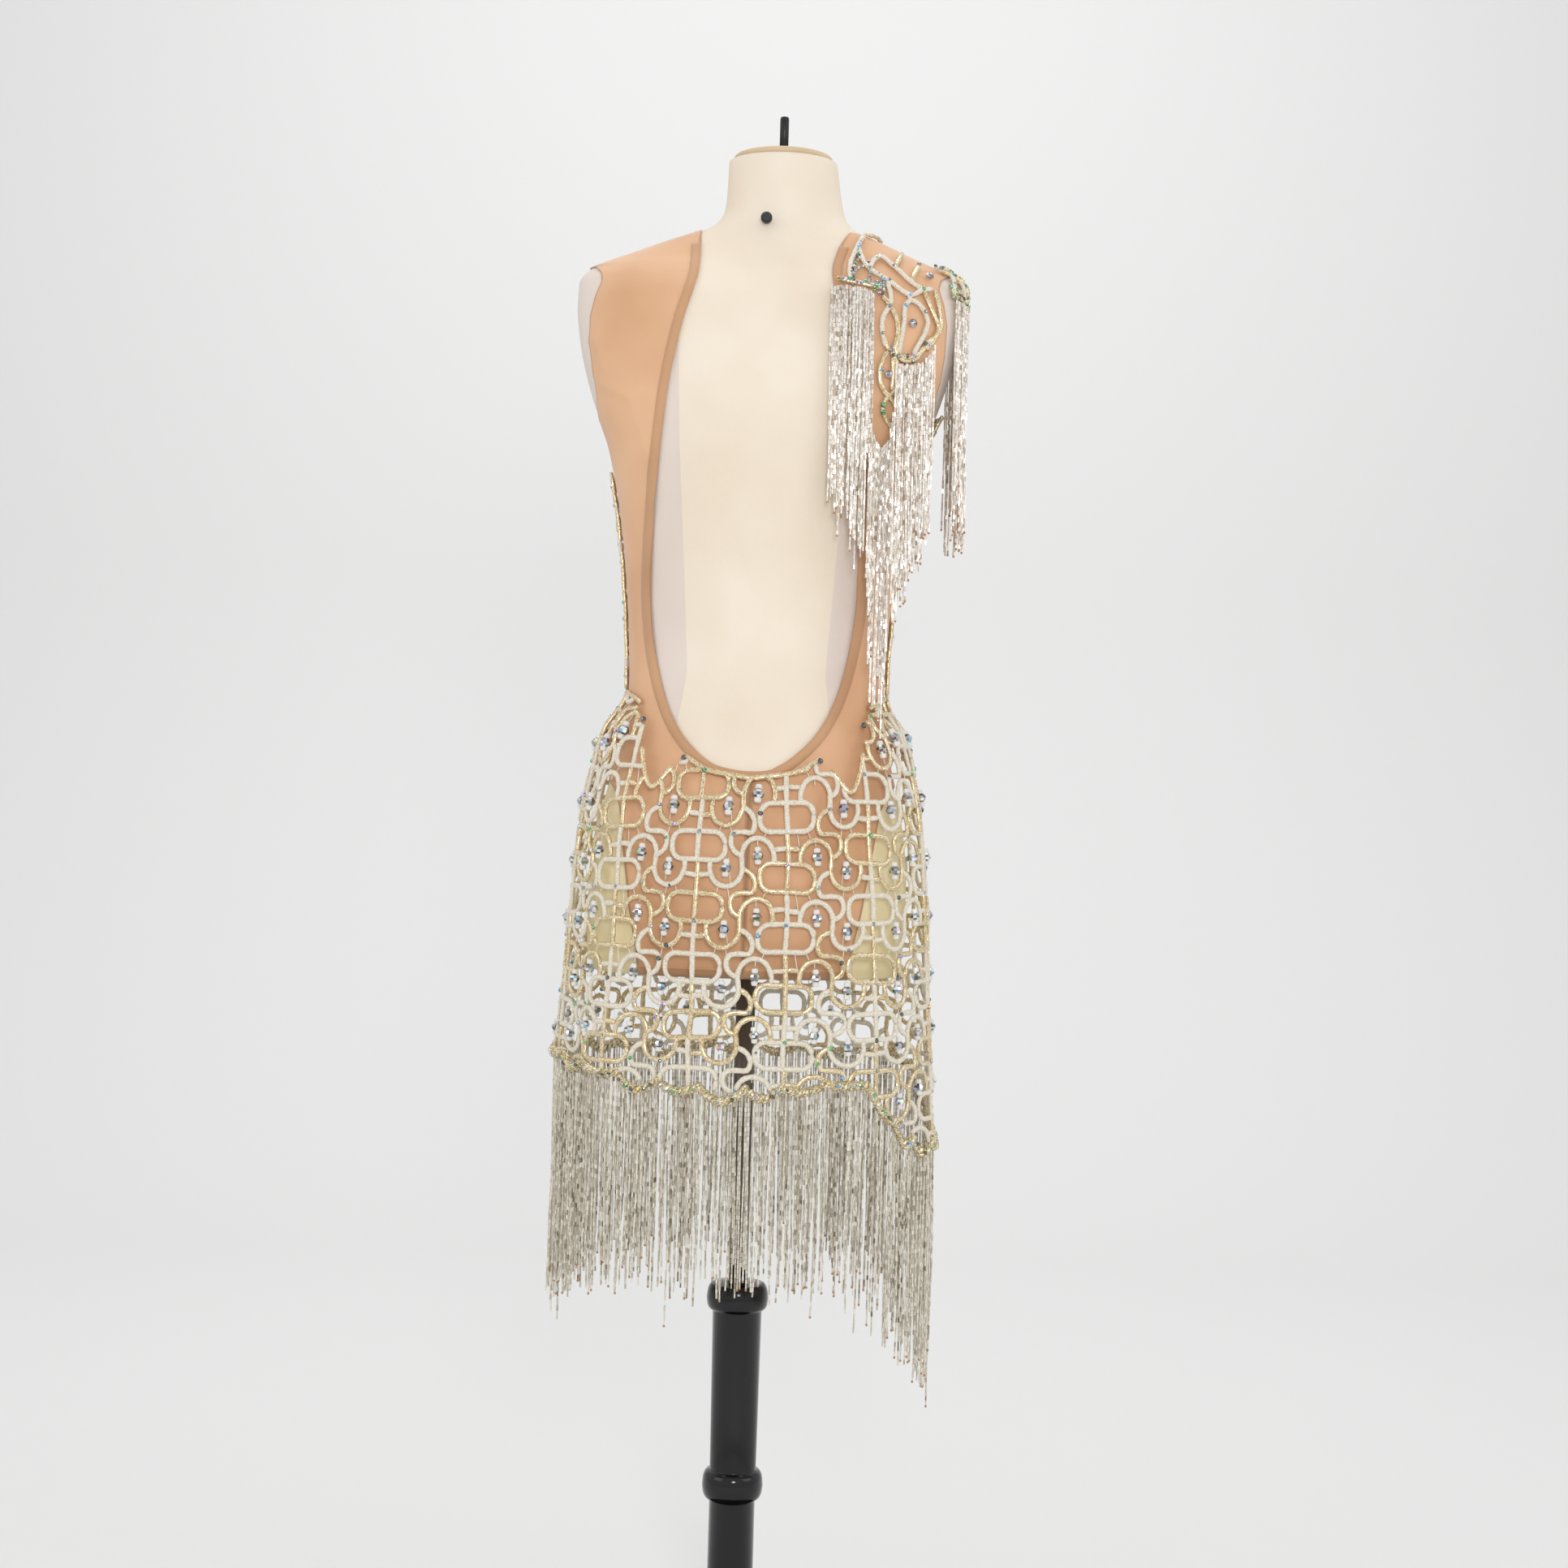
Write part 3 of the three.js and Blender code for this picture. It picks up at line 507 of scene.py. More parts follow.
def scoopAt(z, side):
    shift = side * scoopShift * smoothStep((z - 885) / 6)
    x = np.where(z < 885, 0.2, np.maximum(0.2, smoothCurve(*zip(*scoopEdge))(z) + shift))
    return angleAtX(z, side * x, True)


def neckAt(z, side):
    x = np.where(z < 1330, 0.0, smoothCurve(*zip(*frontNeck))(z))
    return np.where(x < 0.5, 270.0, angleAtX(z, side * np.maximum(x, 0.5), False))


def rowsPatch(name, heights, first, last, material, hemMaterial, columns, hemSides):
    t = np.linspace(0, 1, columns)
    a = first[:, None] + (last - first)[:, None] * t
    z = np.repeat(heights[:, None], columns, 1)
    points = moved(formPoint, a, z, suit["lift"] + meshHeight(a, z))
    faces = gridFaces(len(heights), columns)
    column = faces[:, 0] % columns
    index = np.isin(column, hemSides).astype(int)
    index = np.where(faces[:, 0] // columns < 2, 1, index)
    mesh = makeMesh(name, points.reshape(-1, 3), faces, [material, hemMaterial], index)
    return mesh


def addThickness(piece, thick):
    solid = piece.modifiers.new("cloth", "SOLIDIFY")
    solid.thickness = thick * mm
    solid.offset = -1


def buildSuit():
    heights = np.unique(np.concatenate([np.arange(suit["foot"], 870, suit["rowStep"]),
                                        np.arange(870, 930, 1.6), np.arange(930, 1216, suit["rowStep"]),
                                        np.arange(1216, 1264, 1.5), np.arange(1264, 1328, suit["rowStep"]),
                                        np.arange(1328, 1340, 1.0), np.linspace(1340, shoulderTop, 40)]))
    n = suit["columns"]
    right = rowsPatch("mesh_back_right", heights, scoopAt(heights, -1), suitOuter(heights, True), nudeMesh,
                      nudeHem, n, [0, n - 2])
    left = rowsPatch("mesh_back_left", heights, 180 - suitOuter(heights, True), scoopAt(heights, 1), nudeMesh,
                     nudeHem, n, [0, n - 2])
    sheets = [linkPiece("mesh_back_right", right, "nude_mesh", "suit_back_right"),
              linkPiece("mesh_back_left", left, "nude_mesh", "suit_back_left")]
    sideRight = rowsPatch("side", heights, suitOuter(heights, False), neckAt(heights, -1), nudeMesh,
                          nudeHem, n, [0])
    sideLeft = rowsPatch("side", heights, neckAt(heights, 1), 540 - suitOuter(heights, False), nudeMesh,
                         nudeHem, n, [n - 2])
    front = linkPiece("mesh_front", joinMeshes("mesh_front", [sideRight, sideLeft], 0.05), "nude_mesh",
                      "suit_front")
    for piece in [*sheets, front]:
        addThickness(piece, suit["thick"])


def joinMeshes(name, meshes, weld=0.0):
    joined = bmesh.new()
    for mesh in meshes:
        joined.from_mesh(mesh)
    if weld:
        bmesh.ops.remove_doubles(joined, verts=joined.verts, dist=weld * mm)
    result = bpy.data.meshes.new(name)
    joined.to_mesh(result)
    joined.free()
    for material in meshes[0].materials:
        result.materials.append(material)
    return result


# the turned hem of the open back
scoopHem = {"wide": 8.5, "profile": ((0, 1.7), (0.03, 2.5), (0.5, 2.4), (0.97, 2.4), (1.0, 1.7))}


def buildScoopHem():
    rows = [(x, z) for z, x in scoopEdge if z <= 1413]
    path = [(-x, z) for x, z in rows[::-1]] + rows[1:]
    path = smoothPath(np.array(path, float), 3.0)
    x = path[:, 0] + scoopShift * smoothStep((path[:, 1] - 885) / 6)
    step = np.gradient(np.stack([x, path[:, 1]], -1), axis=0)
    step /= np.linalg.norm(step, axis=1, keepdims=True)
    strips = []
    for share, lift in scoopHem["profile"]:
        away = scoopHem["wide"] * share
        px, pz = x + step[:, 1] * away, path[:, 1] - step[:, 0] * away
        angle = angleAtX(pz, px, True)
        strips.append(moved(formPoint, angle, pz, lift + meshHeight(angle, pz)))
    points = np.stack(strips, 0)
    faces = gridFaces(len(strips), len(x))[:, ::-1]
    piece = linkPiece("scoop_hem", makeMesh("scoop_hem", points.reshape(-1, 3), faces, [nudeHem]),
                      "nude_mesh", "binding_scoop")
    addThickness(piece, 0.5)


def smoothPath(points, step):
    # a smooth curve through the points, with about one point for each step
    points = np.asarray(points, float)
    seats = np.concatenate([[0], np.cumsum(np.linalg.norm(np.diff(points, axis=0), axis=1))])
    padded = np.vstack([2 * points[0] - points[1], points, 2 * points[-1] - points[-2]])
    count = max(2, int(round(seats[-1] / step)) + 1)
    out = []
    for s in np.linspace(0, seats[-1], count):
        i = min(len(points) - 2, int(np.searchsorted(seats, s, side="right")) - 1)
        t = (s - seats[i]) / (seats[i + 1] - seats[i])
        p0, p1, p2, p3 = padded[i:i + 4]
        out.append(0.5 * (2 * p1 + (p2 - p0) * t + (2 * p0 - 5 * p1 + 4 * p2 - p3) * t ** 2
                          + (3 * p1 - p0 - 3 * p2 + p3) * t ** 3))
    return np.array(out)


buildSuit()
buildScoopHem()
print("mesh suit built")

# cord lattice: one repeat of lozenges and arches, set out in millimetres about a lozenge's centre
lattice = {"columns": 12, "pitch": 88, "rowPitch": 57, "backSpine": 102, "widerAtBack": 0.1, "width": 2.55,
           "deep": 1.9, "step": 3.3, "sides": 8, "lift": 1.4,
           "rowHeights": [1242, 1186, 1129, 1072, 1015, 958, 901, 843.6, 786.5, 730, 674.5, 622, 569, 516],
           "firstRow": -7}
repeat = {
    "sCurve": [(13, 13), (12.5, 22), (18, 33), (29, 37), (39, 32.5), (44, 23), (44, 14), (44, 5), (49, -4.5),
               (59, -9), (70, -5), (75.5, 6), (75, 15)],
    "hook": [(44, 8), (36, 3.5), (31.5, -5), (34, -14.5), (44, -15), (53, -17), (55.5, -26), (52, -33.5),
             (44, -38)],
    "rung": [(13, 26.5), (0, 27.5)], "spine": [(0, -13.2), (0, -70.2)],
    "box": (27, 13.2, 11),  # half width, half height and corner radius
}
threads = [((20, -13), (24, -21)), ((9, -13), (14, -44)), ((27, 0), (31.5, -5)), ((57, -10), (55, -21)),
           ((66, -8), (68, -15)), ((-20, -13), (-24, -21)), ((-27, 0), (-31.5, -5)), ((-57, -10), (-55, -21)),
           ((-66, -8), (-68, -15)), ((29, 37), (29, 30)), ((-29, 37), (-29, 30)), ((55, -7), (58, 18)),
           ((-55, -7), (-58, 18))]


def roundedBox(halfWide, halfTall, radius):
    corners = [(halfWide - radius, halfTall - radius, 0), (radius - halfWide, halfTall - radius, 90),
               (radius - halfWide, radius - halfTall, 180), (halfWide - radius, radius - halfTall, 270)]
    points = []
    for cx, cy, first in corners:
        for turn in np.radians(first + np.linspace(0, 90, 7)):
            points.append((cx + radius * math.cos(turn), cy + radius * math.sin(turn)))
    points.append(points[0])
    dense = [np.array(points[0])]
    for a, b in zip(points[:-1], points[1:]):
        a, b = np.array(a), np.array(b)
        count = max(1, int(round(np.linalg.norm(b - a) / lattice["step"])))
        dense.extend(a + (b - a) * (i + 1) / count for i in range(count))
    return np.array(dense)


def makeColumnAngles():
    # where each column of the repeat stands round the skirt, a little wider at the back
    fine = np.linspace(0, 360, 1441)
    ring = skirtPoint(fine, 760.0)[:, :2]
    seats = np.concatenate([[0], np.cumsum(np.linalg.norm(np.diff(ring, axis=0), axis=1))])
    seats /= seats[-1]
    start = np.interp(lattice["backSpine"], fine, seats)
    place = np.linspace(-2, lattice["columns"] + 2, 1601)
    share = place / lattice["columns"]
    share = share + lattice["widerAtBack"] / tau * np.sin(tau * share)
    whole = np.floor(start + share)
    return place, np.interp(start + share - whole, seats, fine) + 360 * whole


columnPlaces, columnAngles = makeColumnAngles()
rowPlaces = np.arange(len(lattice["rowHeights"])) + lattice["firstRow"]


def repeatToCloth(column, row, points):
    # chart millimetres about one lozenge, to angle and height
    place = (column + points[:, 0] / lattice["pitch"]) % lattice["columns"]
    angle = np.interp(place, columnPlaces, columnAngles)
    z = np.interp(row - points[:, 1] / lattice["rowPitch"], rowPlaces, lattice["rowHeights"])
    return angle % 360, z


hem = {"side": 606, "back": 586, "front": 600, "dip": 72, "dipAt": 169, "dipWide": 46}


def hemHeight(angle):
    side = np.minimum(angle % 180, 180 - angle % 180) / 90
    middle = np.where(angle % 360 < 180, hem["back"], hem["front"])
    level = hem["side"] + (middle - hem["side"]) * smoothStep(side)
    dip = np.maximum(0, 1 - ((angle % 360 - hem["dipAt"]) / hem["dipWide"]) ** 2)
    return level - hem["dip"] * smoothStep(dip)


backTop = [(0, 964), (12, 964), (32, 954), (44, 936), (49, 900), (55, 872), (61, 888), (66, 901), (75, 889),
           (90, 882)]
bodiceNeck = [(1172, 205), (1180, 140), (1186, 118), (1214, 78), (1246, 40), (1282, 2), (1322, -36),
              (1362, -64), (1400, -80), (1413, -82)]
yokeEdges = [(1290, 98, 148), (1306, 95, 158), (1318, 92, 163), (1336, 86, 160), (1350, 77, 156),
             (1362, 75, 157), (1374, 75, 159), (1413, 82, 159.5)]


def skirtTop(angle):
    side = np.minimum(angle % 180, 180 - angle % 180)
    return np.where(angle % 360 < 180, np.interp(side, *zip(*backTop)), waistSeam)


def onSkirt(angle, z):
    return (z < skirtTop(angle) - 2) & (z > hemHeight(angle) + 1)


def onBodice(angle, z):
    x = sectionPoint(formCurves, angle, z)[..., 0] + formCurves["lean"](z)
    neck = neckLine(z)
    arm = np.interp(z, *zip(*suitEdge))
    return (angle > 180) & (z > waistSeam - 2) & (x < neck - 3) & (x > -arm + 3) & (x < arm - 2) & (z < 1409)


neckLine = smoothCurve(*zip(*bodiceNeck))
quarterNames = ["skirt_left", "skirt_back", "skirt_right", "skirt_front"]


def quarterOf(angle):
    return quarterNames[int(((angle + 45) % 360) // 90)]


def panelOf(angle, z):
    return "bodice_front" if z > waistSeam and angle > 180 else quarterOf(angle)


def bodicePoint(angle, z):
    return moved(formPoint, angle, z, 3.1)


def latticePoints(angle, z, out):
    # the skirt's own surface below the waist, the body's above, meeting smoothly in front
    upper = moved(bodicePoint, angle, z, out)
    lower = moved(skirtPoint, angle, z, out)
    use = np.where(angle > 180, smoothStep((z - waistSeam + 14) / 14), 0)[..., None]
    return lower + (upper - lower) * use


def clothWaves(angle, z):
    a = np.radians(angle)
    return 0.7 * np.sin(7 * a + z / 41) + 0.5 * np.sin(13 * a - z / 23 + 1)


def runsOf(mask, least=3):
    runs, start = [], None
    for i, keep in enumerate([*mask, False]):
        if keep and start is None:
            start = i
        if not keep and start is not None:
            if i - start >= least:
                runs.append((start, i))
            start = None
    return runs


# everything on the lattice waits here as (kind, angles, heights, lifts, note) and is then placed at one go
waiting = []
baskets = {}


def basketFor(name):
    return baskets.setdefault(name, {"cord": [], "gold": [], "thread": [], "pendant": [], "stone": []})


def settleLattice():
    angle, z, lift = (np.concatenate([item[i] for item in waiting]) for i in (1, 2, 3))
    points = latticePoints(angle, z, lift)
    normals = normalOf(formPoint, angle, z)
    skirt, bodice = onSkirt(angle, z), onBodice(angle, z)
    start = 0
    for kind, angles, _, _, note in waiting:
        span = slice(start, start + len(angles))
        start += len(angles)
        if kind != "cord":
            if skirt[span].all() or bodice[span].all():
                name = panelOf(angle[span][0], z[span].mean())
                basketFor(name)[kind].append((points[span], normals[span], note))
            continue
        for mask in (skirt[span], bodice[span]):
            for first, last in runsOf(mask):
                middle = span.start + (first + last) // 2
                basket = basketFor(panelOf(angle[middle], z[middle]))
                basket["cord"].append((points[span][first:last], normals[span][first:last]))
                basket["gold"].append(note)
    waiting.clear()


def addRepeat():
    rng = random.Random(41)
    lozenge = roundedBox(*repeat["box"])
    sCurve = smoothPath(repeat["sCurve"], lattice["step"])
    hook = smoothPath(repeat["hook"], lattice["step"])
    rung = smoothPath(repeat["rung"], lattice["step"])
    spine = smoothPath(repeat["spine"], lattice["step"])
    for column in range(lattice["columns"]):
        odd = column % 2
        for row in range(lattice["firstRow"], lattice["firstRow"] + len(lattice["rowHeights"])):
            shade = (row + column // 2) % 2
            here = row - 0.5 * odd
            flip = -1 if odd else 1
            cords = [(lozenge, shade), (spine, 1 - shade)]
            cords += [(rung * (side, flip), (1 + side * shade) // 2) for side in (1, -1)]
            if not odd:
                for side in (1, -1):
                    tone = shade if side > 0 else 1 - shade
                    cords += [(sCurve * (side, 1), tone), (hook * (side, 1), 1 - tone)]
                addHangings(column, here, rng)
            for chart, gold in cords:
                angle, z = repeatToCloth(column, here, wobbled(chart, rng))
                lift = lattice["lift"] + clothWaves(angle, z) + rng.uniform(-0.3, 0.3)
                waiting.append(("cord", angle, z, lift, gold))
            addStones(column, here, odd, rng)


def wobbled(chart, rng):
    a, b = rng.uniform(0, tau), rng.uniform(0, tau)
    shift = np.stack([np.sin(chart[:, 1] / 17 + a), np.cos(chart[:, 0] / 19 + b)], -1)
    return chart + shift * rng.uniform(0.4, 1.4)


def addHangings(column, row, rng):
    for a, b in threads:
        chart = np.array([a, b], float) + rng.uniform(-0.8, 0.8)
        line = chart[0] + (chart[1] - chart[0]) * np.linspace(0, 1, 4)[:, None]
        angle, z = repeatToCloth(column, row, line)
        waiting.append(("thread", angle, z, np.full(4, 0.9), None))
    for x, low, high in ((29, 12, 30), (-29, 12, 30), (59, 0, 18), (-59, 0, 18)):
        if rng.random() < 0.06:
            continue
        slant = rng.uniform(-1.5, 1.5)
        angle, z = repeatToCloth(column, row, np.array([(x + slant, low), (x, high)], float))
        waiting.append(("pendant", angle, z, np.array([1.8, 1.5]), rng.uniform(-25, 25)))


def addStones(column, row, odd, rng):
    spots = [(0, repeat["box"][1] * rng.choice((-1, 1)))] if rng.random() < 0.8 else []
    if not odd:
        joints = ((31.5, -8), (-33, -14), (44, 8), (-44, 20), (54, -22), (-53, -17), (61, -9), (-27, 3))
        spots += [spot for spot in joints if rng.random() < 0.5]
    for spot in spots:
        angle, z = repeatToCloth(column, row, np.array([spot], float))
        lift = np.array([lattice["lift"] + lattice["deep"] - 0.2])
        waiting.append(("stone", angle, z, lift, (rng.uniform(1.8, 2.6), rng.random())))


def addEdgeCords():
    # the lattice's own border along the open back and the diagonal neckline
    sides = [(side, z) for side, z in backTop if side >= 12]
    for turn in (1, -1):
        corners = np.array([(90 + turn * (90 - side), z - 3.2) for side, z in sides], float)
        path = smoothPath(corners * (2.4, 1), 2.4) / (2.4, 1)
        for first, last in runsOf(np.abs(path[:, 0] - 90) > 45) + runsOf(np.abs(path[:, 0] - 90) <= 45):
            run = slice(max(0, first - 1), last + 1)
            waiting.append(("cord", path[run, 0], path[run, 1], lattice["lift"] + 0 * path[run, 1], 1))
        for side, top in ((66, 901), (44, 936)):
            spot = np.array([90.0 + turn * (90 - side)]), np.array([top - 4.0])
            waiting.append(("stone", *spot, np.array([3.2]), (2.8, 0.5)))
    z = np.linspace(1186, 1408, 78)
    for away, gold in ((3.6, 1), (8.6, 0)):
        angle = angleAtX(z, neckLine(z) - away, False)
        waiting.append(("cord", angle, z, lattice["lift"] + 0.4 * np.sin(z / 9), gold))
    z = np.linspace(1244, 1352, 40)
    angle = angleAtX(z, 4.2 - np.interp(z, *zip(*suitEdge)), False)
    waiting.append(("cord", angle, z, lattice["lift"] + 0 * z, 1))
    end = angleAtX(np.array([1186.0]), neckLine(np.array([1186.0])) - 3.6, False)[0]
    angle = np.linspace(end, 358.4, 40)
    waiting.append(("cord", angle, 1187 + 0.8 * np.sin(angle / 3), lattice["lift"] + 0 * angle, 1))
    for side, top in ((181.6, 1240), (358.4, 1188)):
        z = np.linspace(923, top, 110)
        waiting.append(("cord", side + 0 * z, z, lattice["lift"] + 0.3 * np.sin(z / 7), 1))
    z = np.linspace(1186, 1408, 78)
    for i in range(3, 76, 4):
        angle = angleAtX(z[i:i + 1], neckLine(z[i:i + 1]) - 6, False)
        waiting.append(("stone", angle, z[i:i + 1], np.array([3.4]), (2.2, (i * 0.37) % 1)))


# the yoke behind the right shoulder: its own chart, across from its inner edge, and height
chartWide = 60  # millimetres that one unit across a shoulder chart stands for
yokeStraps = [  # whether the strap is gold, then its points
    (False, [(0.02, 1392), (0.22, 1368), (0.45, 1356), (0.66, 1343), (0.86, 1350)]),
    (False, [(0.22, 1368), (0.30, 1384), (0.50, 1372), (0.72, 1356), (0.86, 1350), (0.97, 1352)]),
    (False, [(0.45, 1356), (0.42, 1342), (0.34, 1330), (0.22, 1318), (0.20, 1304), (0.26, 1292)]),
    (False, [(0.52, 1286), (0.50, 1312), (0.56, 1332), (0.68, 1338), (0.80, 1328), (0.82, 1308),
             (0.80, 1286)]),
    (False, [(0.66, 1343), (0.64, 1338)]),
    (True, [(0.86, 1350), (0.88, 1336), (0.94, 1322), (0.99, 1308), (0.90, 1299)]),
    (True, [(0.30, 1340), (0.38, 1326), (0.43, 1308), (0.44, 1292), (0.50, 1284), (0.62, 1280),
            (0.76, 1281), (0.88, 1286), (0.97, 1298)]),
    (True, [(0.22, 1302), (0.28, 1292), (0.36, 1290), (0.44, 1292)]),
    (True, [(0.46, 1288), (0.56, 1283), (0.66, 1285), (0.76, 1284), (0.90, 1291), (0.99, 1306)]),
    (True, [(0.55, 1390), (0.52, 1372)]), (True, [(0.78, 1376), (0.72, 1356)]),
]
yokeChain = [(0.30, 1384), (0.18, 1372), (0.05, 1362), (0.02, 1350)]
yokeLeaf = [(0.24, 1366), (0.36, 1360), (0.38, 1350), (0.30, 1342), (0.22, 1350), (0.24, 1366)]


def yokeToCloth(chart):
    z = chart[:, 1]
    zs, inner, outer = zip(*yokeEdges)
    x = np.interp(z, zs, inner) + (np.interp(z, zs, outer) - np.interp(z, zs, inner)) * chart[:, 0]
    return angleAtX(z, -x, True), z


def shoulderPoints(angle, z, out):
    return moved(formPoint, angle, z, 3.2 + out)


def addShoulderCord(name, chart, gold, toCloth=yokeToCloth, out=1.5):
    path = smoothPath(np.array(chart, float) * (chartWide, 1), 3.0) / (chartWide, 1)
    angle, z = toCloth(path)
    basket = basketFor(name)
    basket["cord"].append((shoulderPoints(angle, z, np.full(len(z), out)), normalOf(formPoint, angle, z)))
    basket["gold"].append(int(gold))


def addShoulderStone(name, chart, size, shade, toCloth=yokeToCloth, out=3.2):
    angle, z = toCloth(np.array([chart], float))
    place = shoulderPoints(angle, z, np.array([out]))
    basketFor(name)["stone"].append((place, normalOf(formPoint, angle, z), (size, shade)))


def xToCloth(chart):
    # straight from the form's centre line towards the wearer's right, and height
    return angleAtX(chart[:, 1], -chart[:, 0], True), chart[:, 1]


def addYoke():
    rng = random.Random(7)
    for gold, chart in yokeStraps:
        addShoulderCord("yoke_back", chart, gold)
        for spot in chart[::2]:
            if rng.random() < 0.6:
                addShoulderStone("yoke_back", spot, rng.uniform(1.8, 2.5), rng.random())
    for chart in (yokeChain, yokeLeaf, [(0, 1406), (0.02, 1390), (0.08, 1378), (0.02, 1364), (0, 1352)]):
        for spot in smoothPath(np.array(chart, float) * (chartWide, 1), 3.4) / (chartWide, 1):
            addShoulderStone("yoke_back", tuple(spot), rng.uniform(1.6, 2.2), rng.uniform(0, 1.0), out=2.4)
    for edge, heights in ((0.0, (1352, 1362, 1374, 1390, 1409)), (1.0, (1293, 1306, 1318, 1336, 1350))):
        addShoulderCord("yoke_back", [(edge, z) for z in heights], edge > 0.5)
    addShoulderCord("yoke_back", [(s, 1409.5) for s in (0.02, 0.35, 0.7, 0.98)], True)
    band = [(x, 1352 - (x - 64) * 0.15) for x in (63, 74, 84, 94, 105)]
    addShoulderCord("yoke_back", [(x / chartWide, z) for x, z in band], True,
                    lambda c: xToCloth(c * (chartWide, 1)), 4.5)
    for x in np.arange(64, 105, 3.6):
        spot = (x, 1352 - (x - 64) * 0.15 + rng.uniform(-1.5, 1.5))
        addShoulderStone("yoke_back", spot, rng.uniform(1.6, 2.2), rng.random(), xToCloth, 6.6)
    addShoulderStone("yoke_back", (0.62, 1316), 4.2, 0.31)
    addShoulderStone("yoke_back", (0.92, 1364), 4.0, 0.31)
    addShoulderStone("yoke_back", (0.30, 1351), 3.2, 0.31)


def capToCloth(chart):
    return chart[:, 0], chart[:, 1]


epaulette = {"first": 148, "last": 214, "low": 1349, "high": 1377, "arches": 6, "stones": 24}


def addEpaulette():
    rng = random.Random(19)
    angles = np.linspace(epaulette["first"], epaulette["last"], 7)
    low, high = epaulette["low"], epaulette["high"]

    def addBand(chart, gold, out=1.5):
        path = [(a / chartWide, z) for a, z in chart]
        addShoulderCord("epaulette", path, gold, lambda c: (c[:, 0] * chartWide, c[:, 1]), out)

    addBand([(a, low) for a in angles], True)
    addBand([(a, high + i / 6) for i, a in enumerate(angles)], False)
    for i, first in enumerate(np.linspace(angles[0] + 1, 203, epaulette["arches"])):
        addBand([(first, low + 1), (first + 1, low + 13), (first + 5, low + 23), (first + 9, low + 13),
                 (first + 10, low + 1)], i % 2 == 1)
    for z in (low, low + 7, low + 14, low + 21, high):
        for a in np.linspace(angles[0] - 1, angles[-1] - 1, epaulette["stones"]):
            if z > low and rng.random() < 0.35:
                continue
            spot = (a + rng.uniform(-0.8, 0.8), z + rng.uniform(-1.5, 1.5))
            shade = rng.choice((0.78, 0.78, 0.5, 0.3, 0.9, 0.99))
            addShoulderStone("epaulette", spot, rng.uniform(1.5, 2.3), shade, capToCloth)
    for z in (low + 6, high - 6):
        addBand([(a, z + rng.uniform(-2, 2)) for a in angles], True, 1.0)


def addDrop():
    def dropToCloth(chart):
        return angleAtX(chart[:, 1], -(115 + chart[:, 0]), True), chart[:, 1]
    loops = [
        [(-2, 1288), (-8, 1274), (-8, 1258), (0, 1247), (8, 1257), (8, 1273), (2, 1288)],
        [(0, 1247), (-5, 1236), (-2, 1226), (4, 1218), (3, 1208)],
        [(0, 1247), (7, 1238), (7, 1228), (4, 1218)],
        [(3, 1282), (4, 1266), (3, 1252)],
    ]
    for chart in loops:
        addShoulderCord("drop_motif", [(x / chartWide, z) for x, z in chart], True,
                        lambda c: dropToCloth(c * (chartWide, 1)))
    for x, z, size, shade in ((-1, 1266, 3.8, 0.31), (-5, 1238, 2.8, 0.9), (-5, 1231, 2.6, 0.9),
                              (6, 1243, 1.9, 0.2), (-7, 1270, 1.8, 0.6), (8, 1266, 1.8, 0.1),
                              (3, 1284, 2.0, 0.45), (4, 1214, 1.8, 0.9)):
        addShoulderStone("drop_motif", (x, z), size, shade, dropToCloth)


# tubes, facets and bead strands as joined meshes
def sweep(paths, width, deep, sides, rng, taper=True):
    points, faces, counts, start = [], [], [], 0
    turns = np.arange(sides) * tau / sides
    for line, normals in paths:
        n = len(line)
        tangent = np.gradient(line, axis=0)
        tangent /= np.maximum(np.linalg.norm(tangent, axis=1, keepdims=True), 1e-9)
        side = np.cross(tangent, normals)
        side /= np.maximum(np.linalg.norm(side, axis=1, keepdims=True), 1e-9)
        up = np.cross(side, tangent)
        fat = 1 + 0.10 * np.sin(np.arange(n) * 1.9 + rng.uniform(0, tau)) * rng.uniform(0.3, 1)
        fat *= np.array([rng.uniform(0.93, 1.07) for _ in range(n)])
        if taper:
            fat[0] *= 0.75
            fat[-1] *= 0.75
        ring = (side[:, None] * np.cos(turns)[None, :, None] * width
                + up[:, None] * np.sin(turns)[None, :, None] * deep) * fat[:, None, None]
        points.append((line[:, None] + ring).reshape(-1, 3))
        grid = gridFaces(n, sides, True) + start
        faces.extend(grid.tolist())
        faces.append([start + i for i in range(sides)][::-1])
        faces.append([start + (n - 1) * sides + i for i in range(sides)])
        counts.append(len(grid) + 2)
        start += n * sides
    return np.concatenate(points), faces, counts


def facets(profile, sides):
    turns = np.arange(sides) * tau / sides
    points = np.array([[r * math.cos(t), r * math.sin(t), z] for r, z in profile for t in turns])
    faces = gridFaces(len(profile), sides, True).tolist()
    faces.append([(len(profile) - 1) * sides + i for i in range(sides)])
    faces.append(list(range(sides))[::-1])
    return points, faces


def frameFor(normal, turn, up=None):
    normal = normal / np.linalg.norm(normal)
    guide = np.array([0, 0, 1.0]) if up is None else up
    side = np.cross(guide, normal)
    side /= np.linalg.norm(side)
    rise = np.cross(normal, side)
    c, s = math.cos(turn), math.sin(turn)
    return np.stack([side * c + rise * s, rise * c - side * s, normal], 0)


stoneTints = [  # share below which a stone has each tint
    (0.42, (0.42, 0.42, 0.43)), (0.58, (0.16, 0.17, 0.17)), (0.66, (0.30, 0.50, 0.78)),
    (0.74, (0.50, 0.42, 0.75)), (0.80, (0.75, 0.47, 0.18)), (0.95, (0.20, 0.48, 0.26)),
    (2.0, (0.80, 0.80, 0.82)),
]


